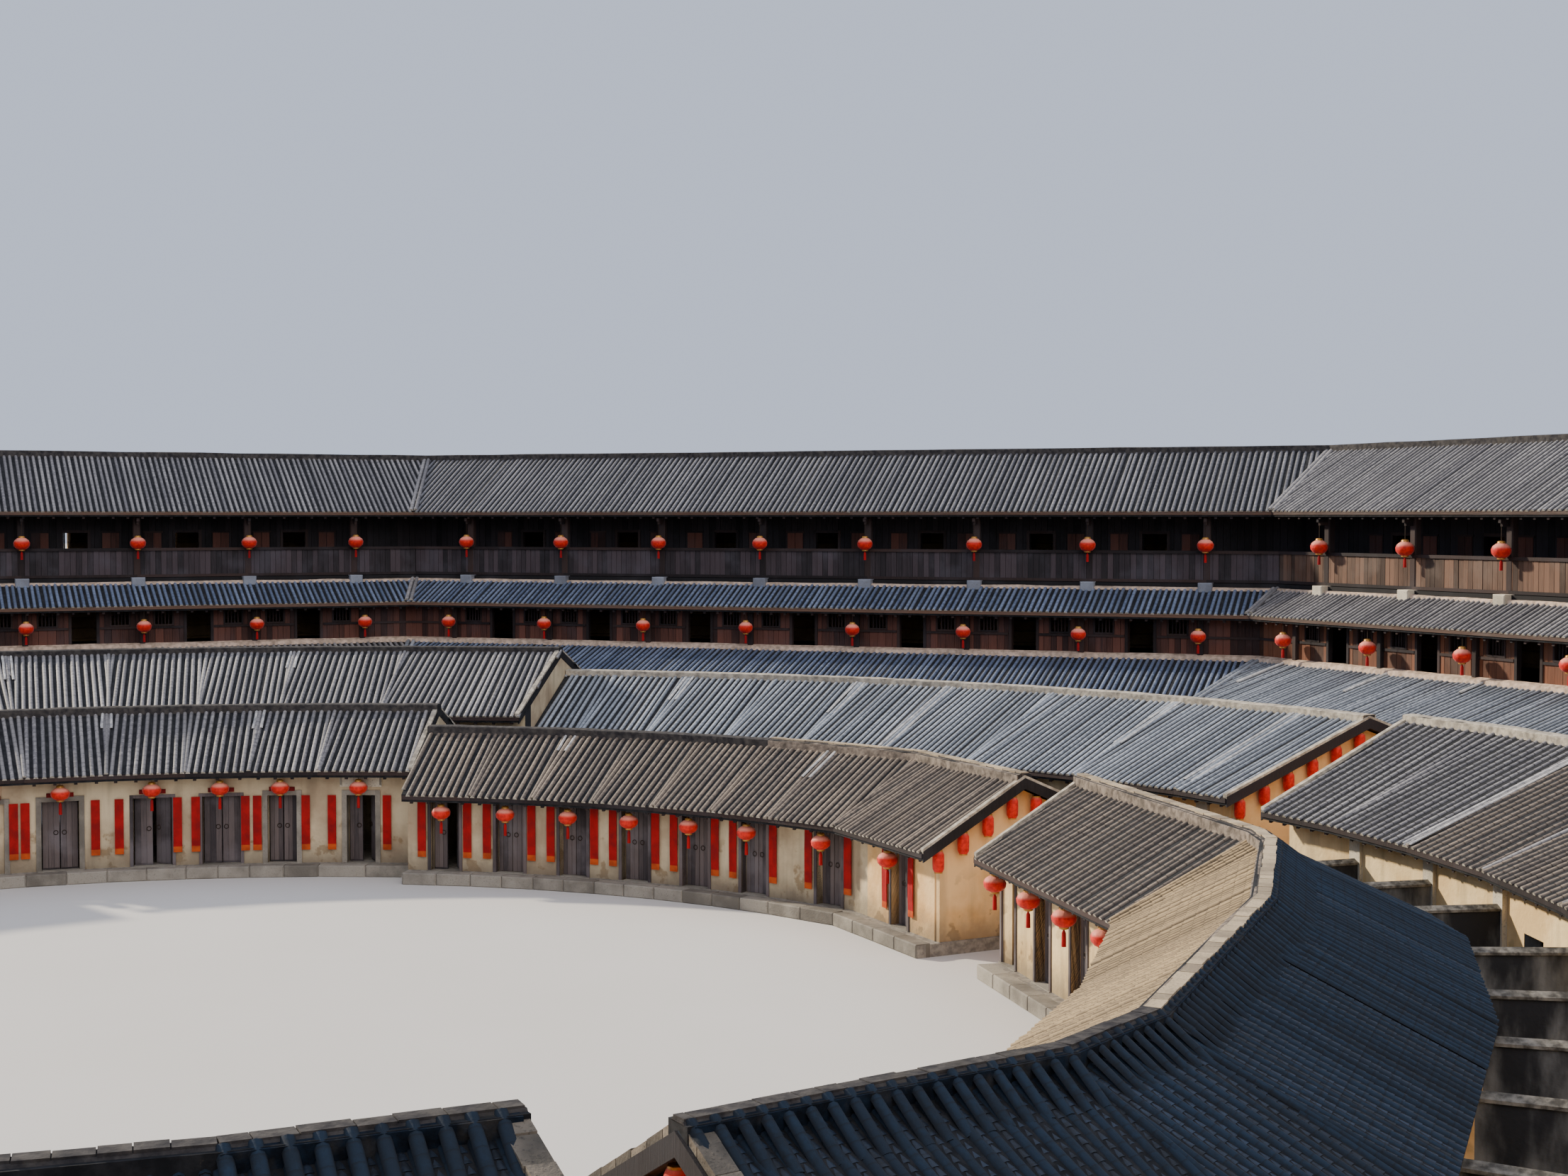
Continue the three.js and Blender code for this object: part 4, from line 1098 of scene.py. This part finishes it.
def galleries():
    front, floor = POST_LINE - 0.08, THIRD_FLOOR + 0.01
    wall_top, post_top = (under(MAIN_ROOF["inner"], MAIN_ROOF["ridge"], a) for a in (GALLERY_WALL, POST_LINE))
    post_top -= 0.14
    for name, facet in SIDES:
        walls, rails, frames = Pile(), Pile(), Pile()
        board_wall(walls, facet, GALLERY_WALL, floor, wall_top - 0.01, door_holes(THIRD_FLOOR))
        for x in BAY_CENTRES:
            door_frame(frames, facet.at(x, GALLERY_WALL, floor), **UPPER_DOOR)
            for side in (-1, 1):
                window = x + side * UPPER_WINDOW["offset"]
                shutters(frames, facet.at(window, GALLERY_WALL, THIRD_FLOOR + UPPER_WINDOW["sill"]))
        low, high = facet.span(front)
        ends, rail = (low + 0.02, high - 0.02), facet.at(0, front, THIRD_FLOOR)
        rail_zs = (THIRD_FLOOR + 0.12, THIRD_FLOOR + RAIL_HEIGHT - 0.05)
        board_wall(rails, facet, front, *rail_zs, width=0.2, proud=0.03, ends=ends)
        for xs in pairs([ends[0], *POST_PLACES, ends[1]]):
            box(frames, rail, xs, (-0.07, 0.01), (0.02, 0.12))
            box(frames, rail, xs, (-0.08, 0.2), (RAIL_HEIGHT - 0.05, RAIL_HEIGHT + 0.05))
        for x in POST_PLACES:
            place = facet.at(x, POST_LINE)
            post(frames, place, 0.26, (floor, post_top))
            beam(frames, place, (-0.5, 10.12), (-0.05, 10.12), 0.1, 0.12)
            beam(frames, place, (-0.12, 10.0), (-0.42, 10.0), 0.08, 0.1)
        sweep(frames, facet, around((POST_LINE, post_top), (-0.1, 0), (0.1, 0), (0.1, -0.2), (-0.1, -0.2)))
        walls.make(f"gallery_wall_boards_{name}", [DARK_BOARDS], slot="timber")
        # Sunny sides take the painted-sunlight rails, the other sides the painted-shade rails.
        boards = SUNLIT_RAILS if name in SUNNY_SIDES else SHADED_RAILS
        rails.make(f"gallery_rail_boards_{name}", [boards], slot="timber")
        frames.make(f"gallery_frames_{name}", [FRAME_WOOD, RED_BOARDS], slot="timber")
    blocks = Pile()
    for name, facet in SIDES:
        slot = int(name not in SUNNY_SIDES)
        for x in POST_PLACES:
            place = facet.at(x, POST_LINE, THIRD_FLOOR)
            stone(blocks, place, (-0.24, 0.24), (-0.52, -0.12), (-0.34, 0.02), 0.03, slot)
    blocks.make("gallery_post_blocks", [PALE_STONE, SHADY_STONE], slot="plaster")


def shutters(pile, place):
    """A closed pair of window shutters between two bars."""
    for low in (-0.06, 0.7):
        box(pile, place, (-0.36, 0.36), (-0.07, 0), (low, low + 0.06))
    for x in (-0.3, 0.01):
        box(pile, place, (x, x + 0.29), (-0.055, 0), (0, 0.7), slot=1)


# Lanterns

CORD = 0.008
# Each row's name, distance, height, width, and the height that its cords hang from
GALLERY_LANTERNS = (("gallery", 39.58, 9.2, 0.58, 10.1), ("second_storey", 38.16, 6.2, 0.54, 6.82))


def lathe(pile, centre, profile, around, slot, ribs=1.0):
    """A closed shape of (radius, z) points turned round an upright line, with every other line drawn in."""
    angles = np.arange(around) * 2 * math.pi / around
    scale = np.where(np.arange(around) % 2, ribs, 1.0)
    line = np.column_stack([scale * np.cos(angles), scale * np.sin(angles), np.zeros(around)])
    tube(pile, [np.array(centre) + line * r + [0, 0, z] for r, z in profile], slot)


def globe_lantern(pile, centre, width, height, drop, tassel):
    """A flattened globe with gilt caps and a tassel, on a cord that hangs from the height drop."""
    turns = np.radians([-68, -45, -20, 8, 34, 58, 74])
    globe = [(width / 2 * math.cos(t), height / 2 * math.sin(t)) for t in turns]
    foot, cap = globe[0][1], globe[-1][1]
    r = width * 0.2
    lathe(pile, centre, globe, 20, 0, 0.95)
    lathe(pile, centre, [(r, cap - 0.02), (r, cap + 0.035), (width * 0.13, cap + 0.06)], 8, 1)
    lathe(pile, centre, [(width * 0.12, foot - 0.05), (r, foot - 0.03), (r, foot + 0.02)], 8, 1)
    lathe(pile, centre, [(0.05, foot - tassel), (0.045, foot - 0.12), (0.012, foot - 0.05)], 6, 2)
    lathe(pile, centre, [(CORD, cap), (CORD, drop - centre[2])], 4, 3)


def can_lantern(pile, centre, width, height, drop):
    """An upright lantern on a cord."""
    r, h = width / 2, height / 2
    end, side = r * 0.72, r * 0.97
    lathe(pile, centre, [(end, -h), (side, -h * 0.7), (r, 0), (side, h * 0.7), (end, h)], 16, 0, 0.94)
    lathe(pile, centre, [(r * 0.7, h - 0.02), (r * 0.7, h + 0.03)], 8, 1)
    lathe(pile, centre, [(r * 0.7, -h - 0.03), (r * 0.7, -h + 0.02)], 8, 1)
    lathe(pile, centre, [(CORD, h), (CORD, drop - centre[2])], 4, 3)


def gallery_lanterns():
    for label, a, z, width, hang in GALLERY_LANTERNS:
        pile = Pile()
        for facet in OCTAGON:
            for x in POST_PLACES:
                globe_lantern(pile, facet.world(x, a, z)[0], width, width * 0.8, hang, 0.36)
        pile.make(f"{label}_lanterns", LANTERN_LOOKS, smooth=60)


def gable_lanterns():
    """Rows of lanterns under the gable that starts each row."""
    pile = Pile()
    x = -(ALLEY_HALF - 0.17)
    for houses, count, first, step in ((INNER, 5, 0.5, 0.68), (MIDDLE, 6, 0.56, 0.79)):
        for house in houses:
            for i in range(count if house.start in ALLEYS else 0):
                distance = house.inner[0] + first + i * step
                z = house.top(distance)
                centre = Facet(house.start).world(x, house.along(house.start, distance, x), z - 0.54)[0]
                can_lantern(pile, centre, 0.29, 0.48, z - SLAB)
    pile.make("gable_lanterns", LANTERN_LOOKS, smooth=60)


# Courtyard houses

KNOCKER_HEIGHT = 1.05


def plain_door(pile, place, width, height):
    """A closed pair of leaves in a niche, with rings."""
    for side in (-1, 1):
        for p, q in pairs(spread(0.008, width / 2 - 0.01, 3)):
            x0, x1 = sorted((side * p, side * q))
            box(pile, place, (x0 + 0.004, x1 - 0.004), (NICHE - 0.05, NICHE + 0.02), (0.03, height - 0.02))
        ring_knocker(pile, place.at(side * 0.12, NICHE - 0.07, KNOCKER_HEIGHT))


def ring_knocker(pile, place, turns=10, sides=4):
    """An upright ring of iron on a door."""
    t, s = np.meshgrid(*(np.arange(n) * 2 * math.pi / n for n in (turns, sides)), indexing="ij")
    r = 0.06 + 0.01 * np.cos(s)
    faces = []
    for i in range(turns):
        for j in range(sides):
            p, q = i * sides, (i + 1) % turns * sides
            faces.append((p + j, q + j, q + (j + 1) % sides, p + (j + 1) % sides))
    pile.add(place.world(r * np.cos(t), 0.01 * np.sin(s), r * np.sin(t)), faces, 1)


STRIP_WIDTH = 0.24


def strip(pile, place, zs, bow, steps, slot):
    """A paper strip on a wall, a little bowed."""
    h = STRIP_WIDTH / 2
    rings = []
    for i, z in enumerate(spread(*zs, steps)):
        front = -0.062 - bow * math.sin(math.pi * i / steps) - rng.uniform(0, 0.004)
        rings.append(place.world([-h, h, h, -h], [front, front, -0.05, -0.05], z))
    tube(pile, rings, slot)


STONE_FRAMES = {131.0, 114.6, 108.5, 136.2}
PLAQUE_DOOR = 108.5
# Distances from a door's edges to the middles of its paper strips, at its higher and its lower bearings
STRIP_GAPS = {
    136.2: (0.24, 0.24), 131.0: (0.42, 0.43), 124.3: (0.37, 0.15), 119.2: (0.17, 0.14), 114.6: (0.28, 0.26),
    108.5: (0.42, 0.34),
}


def house_fronts():
    """Doors, paper strips, lanterns and stone trim on the fronts that face the courtyard."""
    swinging = [*NORTH_WEST_DOORS[:5], NORTH_DOORS[-1]]
    floor, height = PLINTH["height"], HOUSE_DOOR["height"]
    for house in INNER:
        wood, papers, lamps, stones = Pile(), Pile(), Pile(), Pile()
        wall, eave_z = house.front, house.inner[1]
        for bearing in house.doors:
            facet = house.facet_at(bearing, wall)
            door = facet.at(facet.x_of(bearing, wall), wall, floor)
            width = NORTH_WEST_WIDTHS.get(bearing, HOUSE_DOOR["width"])
            w = width / 2
            if bearing not in swinging:
                plain_door(wood, door, width, height)
            pile, bar, proud = (stones, 0.14, 0.04) if bearing in STONE_FRAMES else (wood, 0.09, 0.03)
            door_frame(pile, door, width, height, bar, proud, 0.2)
            box(stones, door, (-w - 0.1, w + 0.1), (-0.06, 0.2), (-0.05, 0.02))
            if house.name != "east":
                for side, gap in zip((-1, 1), STRIP_GAPS.get(bearing, (0.25, 0.25))):
                    strip(papers, door.at(side * (w + gap), 0), (0.55, 1.95), 0.012, 5, 0)
                    strip(papers, door.at(side * (w + gap), 0), (0.39, 0.55), 0.004, 2, 1)
            if bearing == PLAQUE_DOOR:
                plaque = door.at(0, 0, height + 0.24)
                box(stones, plaque, (-0.6, 0.6), (-0.05, 0), (0, 0.34), slot=1)
                door_frame(stones, plaque.at(0, 0, 0.05), 1.08, 0.24, 0.05, 0.075, 0)
            else:
                box(papers, door, (-0.36, 0.36), (-0.045, 0), (height + 0.12, height + 0.24), slot=2)
            centre = door.world(0, -0.33, eave_z - floor - 0.52)[0]
            globe_lantern(lamps, centre, 0.53, 0.38, eave_z - 0.16, 0.4)
        for facet in house.facets(ALLEY_HALF - 0.06):
            low, high = facet.span(wall - PLINTH["front"])
            kerb = facet.at(0, wall - PLINTH["front"])
            if high - low > 0.6:
                for x0, x1 in pairs(spread(low, high, round((high - low) / 1.1))):
                    stone(stones, kerb, (x0 + 0.01, x1 - 0.01), (-0.04, 0.34), (0, floor + 0.025), 0.025)
        wood.make(f"front_house_doors_{house.name}", [DOOR_WOOD, IRON], slot="door_boards")
        papers.make(f"front_house_papers_{house.name}", [RED_PAPER, FOOT_PAPER, DARK_PAPER])
        lamps.make(f"front_house_lanterns_{house.name}", LANTERN_LOOKS, smooth=60)
        stones.make(f"front_house_stones_{house.name}", [STONE, PALE_STONE], slot="plaster")


def swinging_leaves():
    """Boards and a ring on each leaf that swings. They ride on the leaf."""
    bearings = [b for house in INNER for b in house.doors]
    for joint in frame["record"]["behaviour"]["joints"]:
        name = joint["child"]
        pivot = np.array(joint["pos_m"][:2]) / MODEL
        side = joint["axis"][2]
        ajar = -joint["range_deg"][0]
        low, high = (corner[2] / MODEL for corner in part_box(name))
        towards = math.degrees(math.atan2(pivot[1], pivot[0]))
        bearing = min(bearings, key=lambda b: abs(b - towards))
        leaf = Facet(bearing + side * ajar, origin=pivot)
        width = NORTH_WEST_WIDTHS.get(bearing, HOUSE_DOOR["width"])
        free = width / 2 - LEAF["from_jamb"] - LEAF["middle_gap"]
        pile = Pile()
        for p, q in pairs(spread(LEAF["jamb_gap"] - LEAF["from_jamb"] + 0.004, free - 0.004, 3)):
            xs = sorted((side * (p + 0.004), side * (q - 0.004)))
            box(pile, leaf, xs, (-0.043, -0.03), (low + 0.06, high - 0.004))
        ring_knocker(pile, leaf.at(side * (free - 0.1), -0.055, PLINTH["height"] + KNOCKER_HEIGHT))
        pile.make(f"{name}_boards", [DOOR_WOOD, IRON], body=name, slot="door_boards")


def middle_fronts():
    """Pilasters of the middle ring and copings on the walls between its yards."""
    for house in MIDDLE:
        pale = Pile()
        for wall in house.walls:
            if house.start + 1.5 < wall < house.end - 1.5:
                reach = house.along(wall, house.front)
                box(pale, Facet(wall), (-0.2, 0.2), (reach - 0.1, reach + 0.1), (0, house.inner[1] - 0.18))
        pale.make(f"middle_house_pilasters_{house.name}", [PALE_STONE], slot="plaster")
    copings = Pile()
    w, top = 0.17, YARD_WALL_TOP
    outline = [(-w, top - 0.02), (w, top - 0.02), (w, top + 0.03), (0, top + 0.1), (-w, top + 0.03)]
    for inner, middle in zip(INNER, MIDDLE):
        for wall in inner.walls:
            if inner.start + 3 < wall < inner.end - 3:
                near = max(inner.along(wall, inner.back, x) for x in (-w, w)) + 0.01
                far = min(middle.along(wall, middle.front, x) for x in (-w, w)) - 0.03
                plate(copings, Facet(wall), outline, (near, far))
    copings.make("yard_wall_copings", [COPING], slot="plaster")


# Outer wall


def outer_walls():
    stones, rims, bars = Pile(), Pile(), Pile()
    w, height = OUTER_WINDOW["width"] / 2, OUTER_WINDOW["height"]
    gate = GATE["width"] / 2 + 0.3
    for name, facet in SIDES:
        low, high = facet.span(EARTH_OUTER)
        for row in range(4):
            base = facet.at(0, EARTH_OUTER, row * 0.3)
            x = low + 0.02
            while x < high - 0.2:
                end = x + min(rng.uniform(0.32, 0.62), high - 0.02 - x)
                if name != "south_east" or end <= -gate or x >= gate:
                    spans = (0.09 + rng.uniform(0, 0.04), -0.02)
                    stone(stones, base, (x + 0.012, end - 0.012), spans, (0.012, 0.288), 0.05)
                x = end
        for x in BAY_CENTRES:
            place = facet.at(x, EARTH_OUTER, OUTER_WINDOW["sill"])
            surround(rims, place, (-0.05, 0.05), 2 * w, height, 0.16)
            for bar in spread(-w, w, 4)[1:-1]:
                box(bars, place, (bar - 0.03, bar + 0.03), (-0.4, -0.34), (-0.02, height + 0.02))
        if name == "south_east":
            gate_arch(rims, facet.at(0, EARTH_OUTER))
    stones.make("outer_wall_base_stones", [COBBLE], slot="rammed_earth")
    rims.make("outer_window_rims", [PALE_STONE], slot="plaster")
    bars.make("outer_window_bars", [FRAME_WOOD], slot="timber")


def gate_arch(pile, place):
    """The stones round the gate's arch, and below it on both sides."""
    reach = GATE["width"] / 2
    spring = GATE["height"] - reach
    near, far, spans = reach + 0.01, reach + 0.42, (-0.1, 0.12)
    for side in (-1, 1):
        for z0, z1 in pairs(spread(0, spring, 4)):
            box(pile, place, sorted((side * near, side * far)), spans, (z0 + 0.008, z1 - 0.008))
    for t0, t1 in pairs(spread(0, 180, 11)):
        t0, t1 = math.radians(t0 + 0.6), math.radians(t1 - 0.6)
        corners = ((t0, near), (t1, near), (t1, far), (t0, far))
        plate(pile, place, [(r * math.cos(t), spring + r * math.sin(t)) for t, r in corners], spans)


def ground_doors():
    frames = Pile()
    for facet in OCTAGON:
        for x in BAY_CENTRES[::2]:
            door_frame(frames, facet.at(x, GROUND_FRONT), **GROUND_DOOR, bar=0.12)
    frames.make("ground_storey_door_frames", [FRAME_WOOD], slot="timber")


# Camera, floor and light


def link(name, data):
    made = bpy.data.objects.new(name, data)
    bpy.context.scene.collection.objects.link(made)
    return made


def camera():
    data = bpy.data.cameras.new("camera")
    data.sensor_width = 36
    data.lens = 47.62
    data.clip_start = 0.5 * MODEL
    data.clip_end = 100
    eye = link("camera", data)
    eye.location = Vector((25.074, -31.078, 10.199)) * MODEL
    eye.rotation_euler = (math.radians(90 - 1.985), 0, math.radians(20.307))
    bpy.context.scene.camera = eye


def studio():
    mesh = bpy.data.meshes.new("floor")
    reach = 60.0
    corners = [(-reach, -reach, 0), (reach, -reach, 0), (reach, reach, 0), (-reach, reach, 0)]
    mesh.from_pydata(corners, [], [(0, 1, 2, 3)])
    floor = link("floor", mesh)
    look = Look("pale_floor", 0.9, 0.2)
    mesh.materials.append(look.finish(look.noise(0.2, 2).over("cfccc6", "d6d3ce")))
    lamp("key", -11, 26, 6.5, 3, (1.0, 0.88, 0.7))
    lamp("fill", 130, 35, 1.2, 60, (1.0, 0.86, 0.74))
    world = bpy.data.worlds.new("studio")
    world.use_nodes = True
    background = world.node_tree.nodes["Background"]
    background.inputs["Color"].default_value = (0.72, 0.8, 1.0, 1)
    background.inputs["Strength"].default_value = 0.9
    bpy.context.scene.world = world


def lamp(name, bearing, elevation, energy, angle, colour):
    """A distant lamp that shines towards a bearing, down from an elevation."""
    data = bpy.data.lights.new(name, "SUN")
    data.energy = energy
    data.angle = math.radians(angle)
    data.color = colour
    flat = direction(bearing) * math.cos(math.radians(elevation))
    way = Vector((*flat, -math.sin(math.radians(elevation))))
    link(name, data).rotation_euler = way.to_track_quat("-Z", "Y").to_euler()


camera()
studio()
dress_cad()
octagon_roof()
ring_roofs()
rafters()
second_storeys()
galleries()
gallery_lanterns()
house_fronts()
swinging_leaves()
middle_fronts()
gable_lanterns()
outer_walls()
ground_doors()
